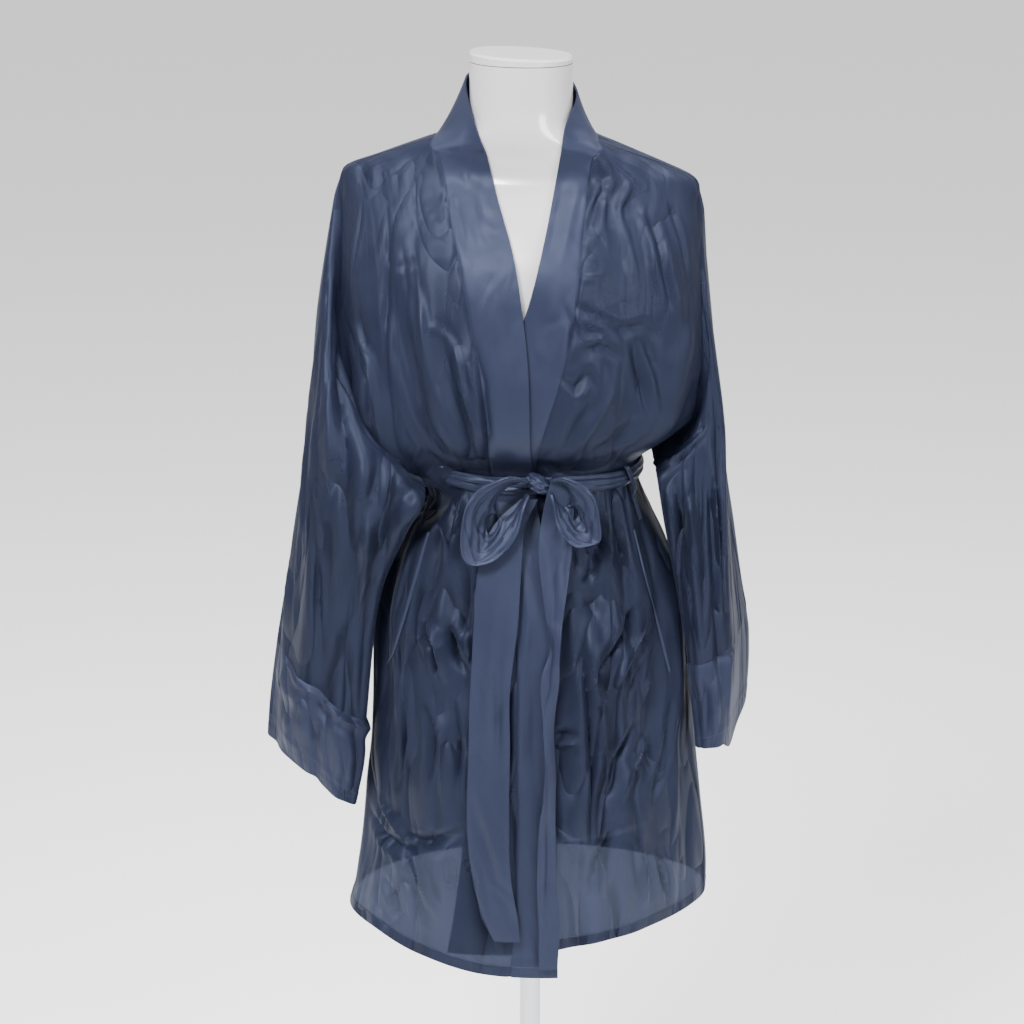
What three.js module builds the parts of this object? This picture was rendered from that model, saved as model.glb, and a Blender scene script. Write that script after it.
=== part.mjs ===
// Satin dressing gown tied with its own belt, on a white limbless dress form with a pole and a round foot.
// Millimetres, Z up, the gown's front faces -Y. The origin is the centre of the foot's underside.
import * as THREE from "three";

// ---------------------------------------------------------------- sizes
const CLOTH = 1.5; // wall of every cut piece
const SEAM_GAP = 0.45; // between the mid-lines of two pieces at a seam, past their edges
const COLLAR_FORWARD = 5;
const LAP_LIFT = 5.0; // the over front lies this far outside the under front
const HEM_Z = 545; // of the lowest rows, before the hem's own dips
const HEM_DIPS_BELOW = 700;
const BACK_NECK_Z = 1427; // seam of the neckband behind the neck
const NECK_POINT_Z = 1411; // inner end of the shoulder seam
const CORNER_Z = 1376; // its outer end, at the top of the armhole
const UNDERARM_Z = 1078;
const SIDE_SEAM = 97; // degrees round from the centre front
const BELT_Z = 1060;
const BELT_CORD = 17; // height of the belt where it is drawn together round the waist
const BELT_WALL = 2.2; // two layers of cloth
const POLE_RADIUS = 11.5;
const FOOT_RADIUS = 165;
const FOOT_PLATE = 9;
const FORM_FLOOR_Z = 655;
const SHOULDER_TURN = 7; // degrees the form's shoulders are turned on its hips
const SHOULDER_DROP = 0.016; // slope of the shoulders down to the viewer's right
const SQUARENESS = 2.15; // of the horizontal sections, 2 is an ellipse

const COLOURS = {
  satin: 0x46536f,
  form: 0xdcdadd,
  metal: 0xa9abae,
  foot: 0x8e9094,
};

// Horizontal sections of the form: half width, depth in front, depth behind, sideways shift.
const FORM_SECTIONS = [
  { z: 655, half: 138, front: 90, back: 92, shift: 1 },
  { z: 662, half: 147, front: 98, back: 100, shift: 1 },
  { z: 690, half: 155, front: 103, back: 108, shift: 1 },
  { z: 760, half: 162, front: 106, back: 116, shift: 1 },
  { z: 820, half: 164, front: 106, back: 118, shift: 1 },
  { z: 880, half: 157, front: 101, back: 110, shift: 1 },
  { z: 960, half: 132, front: 90, back: 90, shift: 2 },
  { z: 1050, half: 104, front: 78, back: 74, shift: 3 },
  { z: 1130, half: 120, front: 92, back: 80, shift: 0 },
  { z: 1215, half: 142, front: 108, back: 88, shift: -5 },
  { z: 1285, half: 153, front: 94, back: 90, shift: -9 },
  { z: 1325, half: 168, front: 74, back: 85, shift: -11 },
  { z: 1350, half: 180, front: 57, back: 74, shift: -11 },
  { z: 1366, half: 180, front: 46, back: 63, shift: -11 },
  { z: 1377, half: 170, front: 41, back: 57, shift: -11 },
  { z: 1388, half: 147, front: 41, back: 54, shift: -11 },
  { z: 1398, half: 122, front: 44, back: 54, shift: -11 },
  { z: 1408, half: 95, front: 49, back: 56, shift: -11 },
  { z: 1417, half: 71, front: 53, back: 57, shift: -11 },
  { z: 1428, half: 57, front: 54, back: 56, shift: -11 },
  { z: 1445, half: 54, front: 53, back: 54, shift: -11 },
  { z: 1491, half: 54, front: 54, back: 54, shift: -11 },
];

// Horizontal sections of the cloth's mid-line. The two sides hang differently.
const GOWN_SECTIONS = [
  { z: 530, left: 207, right: 195, front: 166, back: 158, shift: -1 },
  { z: 600, left: 189, right: 198, front: 163, back: 155, shift: -1 },
  { z: 680, left: 179, right: 190, front: 158, back: 151, shift: -1 },
  { z: 790, left: 173, right: 178, front: 148, back: 143, shift: -1 },
  { z: 900, left: 170, right: 166, front: 134, back: 132, shift: 0 },
  { z: 960, left: 158, right: 151, front: 122, back: 120, shift: 1 },
  { z: 1005, left: 140, right: 129, front: 108, back: 107, shift: 2 },
  { z: 1030, left: 122, right: 117, front: 96, back: 94, shift: 3 },
  { z: 1048, left: 113, right: 112, front: 91, back: 88, shift: 3 },
  { z: 1068, left: 113, right: 112, front: 91, back: 88, shift: 3 },
  { z: 1074, left: 119, right: 115, front: 94, back: 90, shift: 3 },
  { z: 1082, left: 150, right: 126, front: 101, back: 95, shift: 2 },
  { z: 1098, left: 171, right: 151, front: 116, back: 105, shift: 0 },
  { z: 1120, left: 187, right: 177, front: 126, back: 110, shift: -2 },
  { z: 1160, left: 195, right: 190, front: 129, back: 110, shift: -4 },
  { z: 1215, left: 198, right: 195, front: 121, back: 105, shift: -6 },
  { z: 1285, left: 194, right: 195, front: 103, back: 99, shift: -10 },
  { z: 1325, left: 191, right: 191, front: 81, back: 91, shift: -12 },
  { z: 1350, left: 192, right: 188, front: 63, back: 80, shift: -12 },
  { z: 1366, left: 191, right: 188, front: 51, back: 69, shift: -12 },
  { z: 1377, left: 183, right: 181, front: 46, back: 62, shift: -12 },
  { z: 1388, left: 155, right: 155, front: 45, back: 58, shift: -11 },
  { z: 1398, left: 129, right: 129, front: 47, back: 58, shift: -11 },
  { z: 1408, left: 102, right: 102, front: 53, back: 60, shift: -11 },
  { z: 1417, left: 77, right: 77, front: 57, back: 61, shift: -11 },
  { z: 1428, left: 61, right: 61, front: 58, back: 60, shift: -11 },
  { z: 1446, left: 58, right: 58, front: 58, back: 59, shift: -11 },
  { z: 1490, left: 58, right: 58, front: 58, back: 59, shift: -11 },
];

// Heights of the rows of each panel's mesh.
const FRONT_HEIGHTS = [
  545, 561, 600, 645, 690, 740, 790, 840, 890, 935, 975, 1005, 1030, 1048, 1060, 1071, 1084, 1100,
  1122, 1150, 1185, 1225, 1265, 1300, 1330, 1355, 1376, 1392, 1402, 1408,
];
const BAND_HEIGHTS = FRONT_HEIGHTS.filter((z) => z <= 1392).concat(1400);
const BACK_HEIGHTS = FRONT_HEIGHTS.filter((z) => z <= 1330).concat(1350, 1370, 1390, 1410, 1427);

// Counts of the mesh round and along each sleeve and cuff.
const SLEEVE_AROUND = 22;
const SLEEVE_STEPS = 13;
const CUFF_STEPS = 5;

// Where the neckbands lie, from the shoulder to the hem: the seam to the front and the free edge.
const OVER_BAND = [
  { z: 530, seam: -24, edge: 29 },
  { z: 600, seam: -18, edge: 28 },
  { z: 740, seam: -15, edge: 25 },
  { z: 880, seam: -16, edge: 20 },
  { z: 1000, seam: -32, edge: 12 },
  { z: 1060, seam: -41, edge: 2 },
  { z: 1110, seam: -46, edge: -2 },
  { z: 1188, seam: -55, edge: -4 },
  { z: 1240, seam: -65, edge: -9 },
  { z: 1303, seam: -77, edge: -19 },
  { z: 1362, seam: -90, edge: -37 },
  { z: 1400, seam: -100, edge: -47 },
];
const UNDER_BAND = [
  { z: 530, seam: -46, edge: -96 },
  { z: 600, seam: -34, edge: -84 },
  { z: 740, seam: -18, edge: -68 },
  { z: 880, seam: -10, edge: -60 },
  { z: 1000, seam: -6, edge: -54 },
  { z: 1060, seam: 2, edge: -50 },
  { z: 1110, seam: 9, edge: -46 },
  { z: 1172, seam: 27, edge: -31 },
  { z: 1216, seam: 38, edge: -19 },
  { z: 1252, seam: 44, edge: -5 },
  { z: 1300, seam: 50, edge: 8 },
  { z: 1362, seam: 56, edge: 22 },
  { z: 1400, seam: 62, edge: 29 },
];

// The collar part of each band, from the shoulder round to the centre back: the seam on the
// panels and the free edge by the neck, each as a bearing and a height.
const OVER_COLLAR = [
  { seamBearing: -70, seamZ: 1411, edgeBearing: -48, edgeZ: 1434 },
  { seamBearing: -92, seamZ: 1414, edgeBearing: -84, edgeZ: 1466 },
  { seamBearing: -114, seamZ: 1418, edgeBearing: -108, edgeZ: 1476 },
  { seamBearing: -142, seamZ: 1424, edgeBearing: -140, edgeZ: 1481 },
  { seamBearing: -179.8, seamZ: 1427, edgeBearing: -179.8, edgeZ: 1483 },
];
const UNDER_COLLAR = [
  { seamBearing: 70, seamZ: 1413, edgeBearing: 55, edgeZ: 1430 },
  { seamBearing: 92, seamZ: 1417, edgeBearing: 84, edgeZ: 1451 },
  { seamBearing: 114, seamZ: 1421, edgeBearing: 108, edgeZ: 1462 },
  { seamBearing: 142, seamZ: 1425, edgeBearing: 140, edgeZ: 1474 },
  { seamBearing: 179.8, seamZ: 1427, edgeBearing: 179.8, edgeZ: 1483 },
];

// The hem's height round the over front, and round the under front and the back.
const OVER_HEM = [
  { bearing: -97, z: 546 },
  { bearing: -60, z: 556 },
  { bearing: -35, z: 545 },
  { bearing: -12, z: 532 },
  { bearing: 20, z: 528 },
];
const UNDER_HEM = [
  { bearing: -40, z: 548 },
  { bearing: 0, z: 555 },
  { bearing: 14, z: 563 },
  { bearing: 32, z: 572 },
  { bearing: 60, z: 577 },
  { bearing: 97, z: 566 },
  { bearing: 130, z: 553 },
  { bearing: 180, z: 548 },
  { bearing: 263, z: 546 },
];

// Bearing of the armhole edges of each front and of the back, from the shoulder to the underarm.
// On the wearer's right the sleeve flows out of the front low on the chest.
const ARMHOLE = [
  { z: 1376, right: 86, left: 86, back: 86 },
  { z: 1366, right: 84, left: 84, back: 92 },
  { z: 1350, right: 82, left: 82, back: 97 },
  { z: 1300, right: 77, left: 77, back: 103 },
  { z: 1215, right: 74, left: 75, back: 106 },
  { z: 1150, right: 66, left: 76, back: 106 },
  { z: 1105, right: 57, left: 84, back: 103 },
  { z: 1090, right: 66, left: 91, back: 100 },
  { z: 1078, right: 97, left: 97, back: 97 },
];

// Edges of the belt's tails: sideways place and distance out from the cloth below.
const RIGHT_TAIL = [
  { z: 575, leftX: -38, leftOut: 6, rightX: -12, rightOut: 7 },
  { z: 600, leftX: -48, leftOut: 7, rightX: -14, rightOut: 5 },
  { z: 640, leftX: -60, leftOut: 4, rightX: -20, rightOut: 6 },
  { z: 700, leftX: -66, leftOut: 4, rightX: -23, rightOut: 5 },
  { z: 790, leftX: -64, leftOut: 4, rightX: -22, rightOut: 4 },
  { z: 850, leftX: -62, leftOut: 4, rightX: -22, rightOut: 5 },
  { z: 920, leftX: -58, leftOut: 5, rightX: -14, rightOut: 6 },
  { z: 980, leftX: -52, leftOut: 7, rightX: -10, rightOut: 9 },
  { z: 1020, leftX: -36, leftOut: 12, rightX: -6, rightOut: 14 },
  { z: 1049.3, leftX: -9, leftOut: 13, rightX: 6, rightOut: 14.5 },
];
const LEFT_TAIL = [
  { z: 542, leftX: 8, leftOut: 5, rightX: 27, rightOut: 4 },
  { z: 590, leftX: 8, leftOut: 5, rightX: 29, rightOut: 4 },
  { z: 640, leftX: 6, leftOut: 6, rightX: 26, rightOut: 4 },
  { z: 700, leftX: 8, leftOut: 8, rightX: 24, rightOut: 4 },
  { z: 760, leftX: 13, leftOut: 12, rightX: 24, rightOut: 4 },
  { z: 812, leftX: 11, leftOut: 12, rightX: 22, rightOut: 5 },
  { z: 862, leftX: 10, leftOut: 5, rightX: 27, rightOut: 8 },
  { z: 895, leftX: 19, leftOut: 4, rightX: 27, rightOut: 15 },
  { z: 935, leftX: 14, leftOut: 5, rightX: 31, rightOut: 11 },
  { z: 990, leftX: 9, leftOut: 8, rightX: 37, rightOut: 9 },
  { z: 1024, leftX: 11, leftOut: 13, rightX: 33, rightOut: 14 },
  { z: 1049.3, leftX: 9, leftOut: 14.5, rightX: 19, rightOut: 13.5 },
];

// Middle lines of the bow's two loops, out from the knot and back to it.
const RIGHT_LOOP = [
  { x: -5.0, y: -112, z: 1070, lean: 0.2, wide: 16 },
  { x: -26, y: -120.2, z: 1071, lean: 0.65, wide: 24 },
  { x: -50, y: -124.2, z: 1055, lean: 0.75, wide: 30 },
  { x: -61, y: -126.2, z: 1030, lean: 0.75, wide: 32 },
  { x: -62, y: -127.2, z: 1008, lean: 0.75, wide: 32 },
  { x: -54, y: -129.2, z: 995, lean: 0.75, wide: 30 },
  { x: -38, y: -129.2, z: 1002, lean: 0.75, wide: 28 },
  { x: -20, y: -125.2, z: 1026, lean: 0.6, wide: 22 },
  { x: -4.5, y: -115.2, z: 1055.8, lean: 0.2, wide: 14 },
];
const LEFT_LOOP = [
  { x: 20.1, y: -111.2, z: 1070, lean: 0.2, wide: 16 },
  { x: 36, y: -120.2, z: 1070, lean: 0.65, wide: 24 },
  { x: 52, y: -123.2, z: 1056, lean: 0.75, wide: 28 },
  { x: 60, y: -124.2, z: 1034, lean: 0.75, wide: 30 },
  { x: 60, y: -125.2, z: 1018, lean: 0.75, wide: 28 },
  { x: 46, y: -127.2, z: 1013, lean: 0.75, wide: 26 },
  { x: 32, y: -124.2, z: 1030, lean: 0.6, wide: 22 },
  { x: 20.6, y: -112, z: 1057, lean: 0.2, wide: 14 },
];

// Belt carriers and pocket edges: upper and lower end on the front.
const CARRIERS = [
  { name: "belt_carrier_right", topX: -88, topZ: 1076, lowX: -113, lowZ: 1008 },
  { name: "belt_carrier_left", topX: 92, topZ: 1076, lowX: 112, lowZ: 1012 },
];
const POCKET_EDGES = [
  { name: "pocket_edge_right", topX: -108, topZ: 1004, lowX: -154, lowZ: 848 },
  { name: "pocket_edge_left", topX: 108, topZ: 1004, lowX: 148, lowZ: 848 },
];

// Folds of the body: bearing at the upper and lower end, half width in degrees, depth (minus is a trough).
const BODY_FOLDS = [
  // pulls from the chest down to the belt, wearer's right
  { top: 1290, low: 1064, from: -40, to: -27, wide: 7, deep: -7 },
  { top: 1270, low: 1064, from: -30, to: -21, wide: 5, deep: 6 },
  { top: 1330, low: 1090, from: -58, to: -46, wide: 8, deep: 6 },
  { top: 1250, low: 1075, from: -52, to: -36, wide: 6, deep: -6 },
  { top: 1190, low: 1070, from: -66, to: -52, wide: 7, deep: 6 },
  { top: 1210, low: 1070, from: -72, to: -63, wide: 5, deep: -5 },
  // the crumpled wearer's left
  { top: 1380, low: 1240, from: 36, to: 30, wide: 7, deep: -5 },
  { top: 1350, low: 1180, from: 50, to: 62, wide: 7, deep: 6 },
  { top: 1250, low: 1080, from: 44, to: 30, wide: 6, deep: -6 },
  { top: 1240, low: 1080, from: 60, to: 48, wide: 7, deep: 6 },
  { top: 1180, low: 1075, from: 72, to: 60, wide: 6, deep: -6 },
  // gathers under the belt
  { top: 1058, low: 900, from: -24, to: -26, wide: 4.5, deep: -6 },
  { top: 1058, low: 820, from: -33, to: -32, wide: 5, deep: 6 },
  { top: 1058, low: 860, from: -43, to: -42, wide: 5, deep: -6 },
  { top: 1055, low: 700, from: -58, to: -50, wide: 7, deep: 6 },
  { top: 1050, low: 720, from: -72, to: -66, wide: 7, deep: -7 },
  { top: 1058, low: 880, from: 22, to: 24, wide: 4.5, deep: -6 },
  { top: 1058, low: 800, from: 31, to: 30, wide: 5, deep: 6 },
  { top: 1058, low: 860, from: 41, to: 37, wide: 5, deep: -6 },
  { top: 1040, low: 700, from: 66, to: 38, wide: 6, deep: -7 },
  { top: 1040, low: 640, from: 78, to: 52, wide: 7, deep: 6 },
  { top: 900, low: 560, from: -62, to: -44, wide: 7, deep: -6 },
  { top: 840, low: 560, from: 62, to: 66, wide: 8, deep: -7 },
  { top: 760, low: 545, from: 34, to: 30, wide: 7, deep: 6 },
  { top: 760, low: 545, from: -84, to: -82, wide: 8, deep: 4 },
  // the back
  { top: 1330, low: 1075, from: 122, to: 128, wide: 7, deep: -6 },
  { top: 1300, low: 1075, from: 142, to: 146, wide: 8, deep: 7 },
  { top: 1260, low: 1075, from: 162, to: 160, wide: 6, deep: -6 },
  { top: 1280, low: 1075, from: 184, to: 182, wide: 7, deep: 6 },
  { top: 1310, low: 1075, from: 204, to: 199, wide: 7, deep: -6 },
  { top: 1300, low: 1075, from: 222, to: 216, wide: 8, deep: 7 },
  { top: 1320, low: 1075, from: 242, to: 234, wide: 7, deep: -6 },
  { top: 1050, low: 760, from: 112, to: 110, wide: 6, deep: -6 },
  { top: 1050, low: 600, from: 128, to: 130, wide: 8, deep: 7 },
  { top: 1050, low: 820, from: 144, to: 142, wide: 6, deep: -6 },
  { top: 1050, low: 560, from: 160, to: 162, wide: 8, deep: 8 },
  { top: 1050, low: 780, from: 176, to: 178, wide: 6, deep: -6 },
  { top: 1050, low: 580, from: 193, to: 190, wide: 8, deep: 7 },
  { top: 1050, low: 800, from: 209, to: 212, wide: 6, deep: -6 },
  { top: 1050, low: 560, from: 226, to: 224, wide: 8, deep: 8 },
  { top: 1050, low: 760, from: 243, to: 246, wide: 6, deep: -6 },
];

// Rings of each sleeve below the armhole: outer, front, inner and back point.
const RIGHT_SLEEVE = [
  { ox: -226, oy: 4, oz: 1240, fx: -210, fy: -80, fz: 1130, ix: -112, iy: -88, iz: 1050, bx: -218, by: 60, bz: 1130 },
  { ox: -238, oy: 4, oz: 1110, fx: -222, fy: -84, fz: 1040, ix: -134, iy: -86, iz: 1002, bx: -212, by: 54, bz: 1050 },
  { ox: -257, oy: 2, oz: 985, fx: -226, fy: -76, fz: 950, ix: -163, iy: -72, iz: 925, bx: -214, by: 44, bz: 955 },
  { ox: -278, oy: 0, oz: 862, fx: -237, fy: -70, fz: 828, ix: -179, iy: -62, iz: 788, bx: -226, by: 40, bz: 838 },
];
const RIGHT_CUFF = [
  { ox: -281, oy: 0, oz: 852, fx: -240, fy: -72, fz: 818, ix: -181, iy: -62, iz: 778, bx: -228, by: 42, bz: 828 },
  { ox: -288, oy: 0, oz: 796, fx: -241, fy: -76, fz: 776, ix: -183, iy: -66, iz: 734, bx: -232, by: 42, bz: 782 },
  { ox: -291, oy: -4, oz: 750, fx: -240, fy: -68, fz: 724, ix: -192, iy: -62, iz: 690, bx: -232, by: 40, bz: 736 },
];
const LEFT_SLEEVE = [
  { ox: 188, oy: 0, oz: 1240, fx: 194, fy: -60, fz: 1130, ix: 133, iy: -50, iz: 1062, bx: 194, by: 54, bz: 1150 },
  { ox: 203, oy: -4, oz: 1110, fx: 196, fy: -72, fz: 1040, ix: 142, iy: -58, iz: 1008, bx: 204, by: 58, bz: 1050 },
  { ox: 215, oy: -8, oz: 985, fx: 200, fy: -78, fz: 950, ix: 158, iy: -62, iz: 925, bx: 219, by: 62, bz: 960 },
  { ox: 227, oy: -18, oz: 872, fx: 206, fy: -80, fz: 868, ix: 169, iy: -64, iz: 858, bx: 237, by: 60, bz: 884 },
];
const LEFT_CUFF = [
  { ox: 227, oy: -20, oz: 862, fx: 207, fy: -82, fz: 858, ix: 170, iy: -64, iz: 848, bx: 238, by: 62, bz: 874 },
  { ox: 225, oy: -30, oz: 806, fx: 208, fy: -84, fz: 812, ix: 175, iy: -66, iz: 804, bx: 242, by: 62, bz: 836 },
  { ox: 220, oy: -40, oz: 756, fx: 206, fy: -82, fz: 766, ix: 180, iy: -66, iz: 762, bx: 242, by: 60, bz: 804 },
];

// Long folds: place round the tube (0 outer, 0.25 front), half width, depth, reach along it.
const SLEEVE_FOLDS = [
  { at: 0.13, wide: 0.035, deep: -5, from: 0.1, to: 0.9 },
  { at: 0.2, wide: 0.04, deep: 5, from: 0.15, to: 1 },
  { at: 0.28, wide: 0.035, deep: -6, from: 0.25, to: 1 },
  { at: 0.37, wide: 0.04, deep: 5, from: 0.35, to: 1 },
  { at: 0.62, wide: 0.04, deep: 5, from: 0.3, to: 1 },
  { at: 0.71, wide: 0.04, deep: -6, from: 0.15, to: 1 },
  { at: 0.8, wide: 0.04, deep: 5, from: 0.1, to: 0.95 },
  { at: 0.89, wide: 0.035, deep: -5, from: 0.1, to: 0.9 },
];
const RIGHT_CUFF_FOLDS = [
  { at: 0.07, wide: 0.04, deep: -5, from: 0.25, to: 1 },
  { at: 0.16, wide: 0.04, deep: 5, from: 0.05, to: 0.95 },
  { at: 0.27, wide: 0.035, deep: -4, from: 0.3, to: 1 },
  { at: 0.37, wide: 0.04, deep: 4, from: 0.1, to: 1 },
  { at: 0.75, wide: 0.05, deep: -5, from: 0, to: 1 },
];
const LEFT_CUFF_FOLDS = [
  { at: 0.3, wide: 0.05, deep: 4, from: 0.1, to: 1 },
  { at: 0.42, wide: 0.04, deep: -4, from: 0.2, to: 1 },
  { at: 0.88, wide: 0.05, deep: 4, from: 0, to: 1 },
];

// ---------------------------------------------------------------- helpers
const radians = (degrees) => (degrees * Math.PI) / 180;

function smoothStep(low, high, value) {
  const share = Math.min(Math.max((value - low) / (high - low), 0), 1);
  return share * share * (3 - 2 * share);
}

function blend(a, b, share) {
  return a + (b - a) * share;
}

// Smooth curve through four values, used between the second and third.
function hermite(before, from, to, after, share) {
  const slopeFrom = (to - before) / 2;
  const slopeTo = (after - from) / 2;
  const square = share * share;
  const cube = square * share;
  return (
    (2 * cube - 3 * square + 1) * from +
    (cube - 2 * square + share) * slopeFrom +
    (3 * square - 2 * cube) * to +
    (cube - square) * slopeTo
  );
}

// Value of one column of a table where its first column has a value, smooth through every row.
function column(table, key, value, by = "z") {
  const rows = table[0][by] < table[table.length - 1][by] ? table : [...table].reverse();
  const last = rows.length - 1;
  if (value <= rows[0][by]) {
    return rows[0][key];
  }
  if (value >= rows[last][by]) {
    return rows[last][key];
  }
  const next = rows.findIndex((row) => row[by] > value);
  const low = rows[next - 1];
  const high = rows[next];
  const span = high[by] - low[by];
  const lower = rows[Math.max(next - 2, 0)];
  const upper = rows[Math.min(next + 1, last)];
  const slopeLow = ((high[key] - lower[key]) / (high[by] - lower[by])) * span;
  const slopeHigh = ((upper[key] - low[key]) / (upper[by] - low[by])) * span;
  const share = (value - low[by]) / span;
  const square = share * share;
  const cube = square * share;
  return (
    (2 * cube - 3 * square + 1) * low[key] +
    (cube - 2 * square + share) * slopeLow +
    (3 * square - 2 * cube) * high[key] +
    (cube - square) * slopeHigh
  );
}

function signedPower(value, power) {
  return Math.sign(value) * Math.abs(value) ** power;
}

// The shoulders are turned a little on the hips.
function turned(x, y, z, shift) {
  const share = smoothStep(1000, 1300, z);
  const angle = radians(SHOULDER_TURN) * share;
  const cos = Math.cos(angle);
  const sin = Math.sin(angle);
  return new THREE.Vector3(x * cos + y * sin + shift, y * cos - x * sin, z - SHOULDER_DROP * share * x);
}

// A point of a horizontal section, by its bearing from the centre front (plus is the viewer's right).
function sectionPoint(half, front, back, shift, bearing, z) {
  const power = 2 / SQUARENESS;
  const across = signedPower(Math.sin(radians(bearing)), power);
  const along = signedPower(Math.cos(radians(bearing)), power);
  return turned(half * across, -(along > 0 ? front : back) * along, z, shift);
}

function formPoint(bearing, z) {
  return sectionPoint(
    column(FORM_SECTIONS, "half", z),
    column(FORM_SECTIONS, "front", z),
    column(FORM_SECTIONS, "back", z),
    column(FORM_SECTIONS, "shift", z),
    bearing,
    z,
  );
}

function foldLift(bearing, z) {
  let lift = 0;
  const whole = (bearing + 360) % 360;
  for (const fold of BODY_FOLDS) {
    if (z > fold.top || z < fold.low) {
      continue;
    }
    const along = (fold.top - z) / (fold.top - fold.low);
    const centre = blend(fold.from, fold.to, along);
    const around = Math.abs(((whole - centre + 540) % 360) - 180);
    const profile = Math.exp(-((around / fold.wide) ** 2) * 1.4);
    const ends = smoothStep(0, 0.3, along) * smoothStep(0, 0.3, 1 - along);
    lift += fold.deep * profile * ends;
  }
  return lift;
}

// The gown's mid-line at a bearing and height, with its folds, moved out by a distance.
function gownPoint(bearing, z, out = 0) {
  const side = Math.sin(radians(bearing)) < 0 ? "left" : "right";
  const lift = foldLift(bearing, z) + out;
  return sectionPoint(
    column(GOWN_SECTIONS, side, z) + lift,
    column(GOWN_SECTIONS, "front", z) + lift,
    column(GOWN_SECTIONS, "back", z) + lift,
    column(GOWN_SECTIONS, "shift", z),
    bearing,
    z,
  );
}

// Bearing at which the gown's front has a given sideways place.
function bearingAt(x, z) {
  let low = -88;
  let high = 88;
  for (let step = 0; step < 18; step += 1) {
    const middle = (low + high) / 2;
    if (gownPoint(middle, z).x < x) {
      low = middle;
    } else {
      high = middle;
    }
  }
  return (low + high) / 2;
}

// A short distance along the cloth's front, in degrees.
function degreesAcross(distance, z) {
  return (distance / column(GOWN_SECTIONS, "left", z)) * (180 / Math.PI);
}

// ---------------------------------------------------------------- solids
function solid(name, colour, positions, indices, roughness, metalness = 0) {
  const geometry = new THREE.BufferGeometry();
  geometry.setAttribute("position", new THREE.Float32BufferAttribute(positions, 3));
  geometry.setIndex(indices);
  geometry.computeVertexNormals();
  const material = new THREE.MeshStandardMaterial({ color: colour, roughness, metalness });
  const mesh = new THREE.Mesh(geometry, material);
  mesh.name = name;
  return mesh;
}

// Normals of a grid of points from its neighbours; a closed grid wraps round in its first direction.
function gridNormals(grid, closed) {
  const columns = grid.length;
  const rows = grid[0].length;
  return grid.map((line, i) =>
    line.map((point, j) => {
      const before = closed ? (i + columns - 1) % columns : Math.max(i - 1, 0);
      const after = closed ? (i + 1) % columns : Math.min(i + 1, columns - 1);
      const across = grid[after][j].clone().sub(grid[before][j]);
      const along = grid[i][Math.min(j + 1, rows - 1)].clone().sub(grid[i][Math.max(j - 1, 0)]);
      return across.cross(along).normalize();
    }),
  );
}

// A cloth wall built on both sides of a grid of mid-line points. The grid's normals point outwards.
function clothWall(name, grid, wall, closed = false) {
  const columns = grid.length;
  const rows = grid[0].length;
  const normals = gridNormals(grid, closed);
  const positions = [];
  for (const side of [0.5, -0.5]) {
    for (let i = 0; i < columns; i += 1) {
      for (let j = 0; j < rows; j += 1) {
        const point = grid[i][j].clone().addScaledVector(normals[i][j], wall * side);
        positions.push(point.x, point.y, point.z);
      }
    }
  }
  const inner = columns * rows;
  const at = (i, j) => (i % columns) * rows + j;
  const indices = [];
  const quad = (a, b, c, d) => indices.push(a, b, c, a, c, d);
  const spans = closed ? columns : columns - 1;
  for (let i = 0; i < spans; i += 1) {
    for (let j = 0; j < rows - 1; j += 1) {
      quad(at(i, j), at(i + 1, j), at(i + 1, j + 1), at(i, j + 1));
      quad(inner + at(i, j), inner + at(i, j + 1), inner + at(i + 1, j + 1), inner + at(i + 1, j));
    }
    quad(at(i, 0), inner + at(i, 0), inner + at(i + 1, 0), at(i + 1, 0));
    quad(at(i, rows - 1), at(i + 1, rows - 1), inner + at(i + 1, rows - 1), inner + at(i, rows - 1));
  }
  if (!closed) {
    const end = columns - 1;
    for (let j = 0; j < rows - 1; j += 1) {
      quad(at(0, j), at(0, j + 1), inner + at(0, j + 1), inner + at(0, j));
      quad(at(end, j), inner + at(end, j), inner + at(end, j + 1), at(end, j + 1));
    }
  }
  return solid(name, COLOURS.satin, positions, indices, 0.45);
}

// A body of stacked rings closed at both ends, for the form.
function stackedRings(name, colour, rings, roughness) {
  const count = rings[0].length;
  const positions = rings.flat().flatMap((point) => [point.x, point.y, point.z]);
  const indices = [];
  for (let j = 0; j < rings.length - 1; j += 1) {
    for (let i = 0; i < count; i += 1) {
      const a = j * count + i;
      const b = j * count + ((i + 1) % count);
      indices.push(a, b, b + count, a, b + count, a + count);
    }
  }
  const top = (rings.length - 1) * count;
  for (let i = 1; i < count - 1; i += 1) {
    indices.push(0, i + 1, i);
    indices.push(top, top + i, top + i + 1);
  }
  return solid(name, colour, positions, indices, roughness);
}

function lathe(name, colour, profile, segments, roughness, metalness) {
  const points = profile.map(([radius, z]) => new THREE.Vector2(radius, z));
  const geometry = new THREE.LatheGeometry(points, segments);
  geometry.rotateX(Math.PI / 2);
  const material = new THREE.MeshStandardMaterial({ color: colour, roughness, metalness });
  const mesh = new THREE.Mesh(geometry, material);
  mesh.name = name;
  return mesh;
}

// Evenly spread numbers between two ends.
function spread(from, to, count) {
  return Array.from({ length: count }, (_, i) => blend(from, to, i / (count - 1)));
}

// ---------------------------------------------------------------- dress form and stand
function buildForm() {
  const segments = 36;
  const heights = FORM_SECTIONS.map((row) => row.z);
  const rings = heights.map((z) =>
    Array.from({ length: segments }, (_, i) => formPoint((i * 360) / segments, z)),
  );
  return stackedRings("form_torso", COLOURS.form, rings, 0.2);
}

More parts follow.
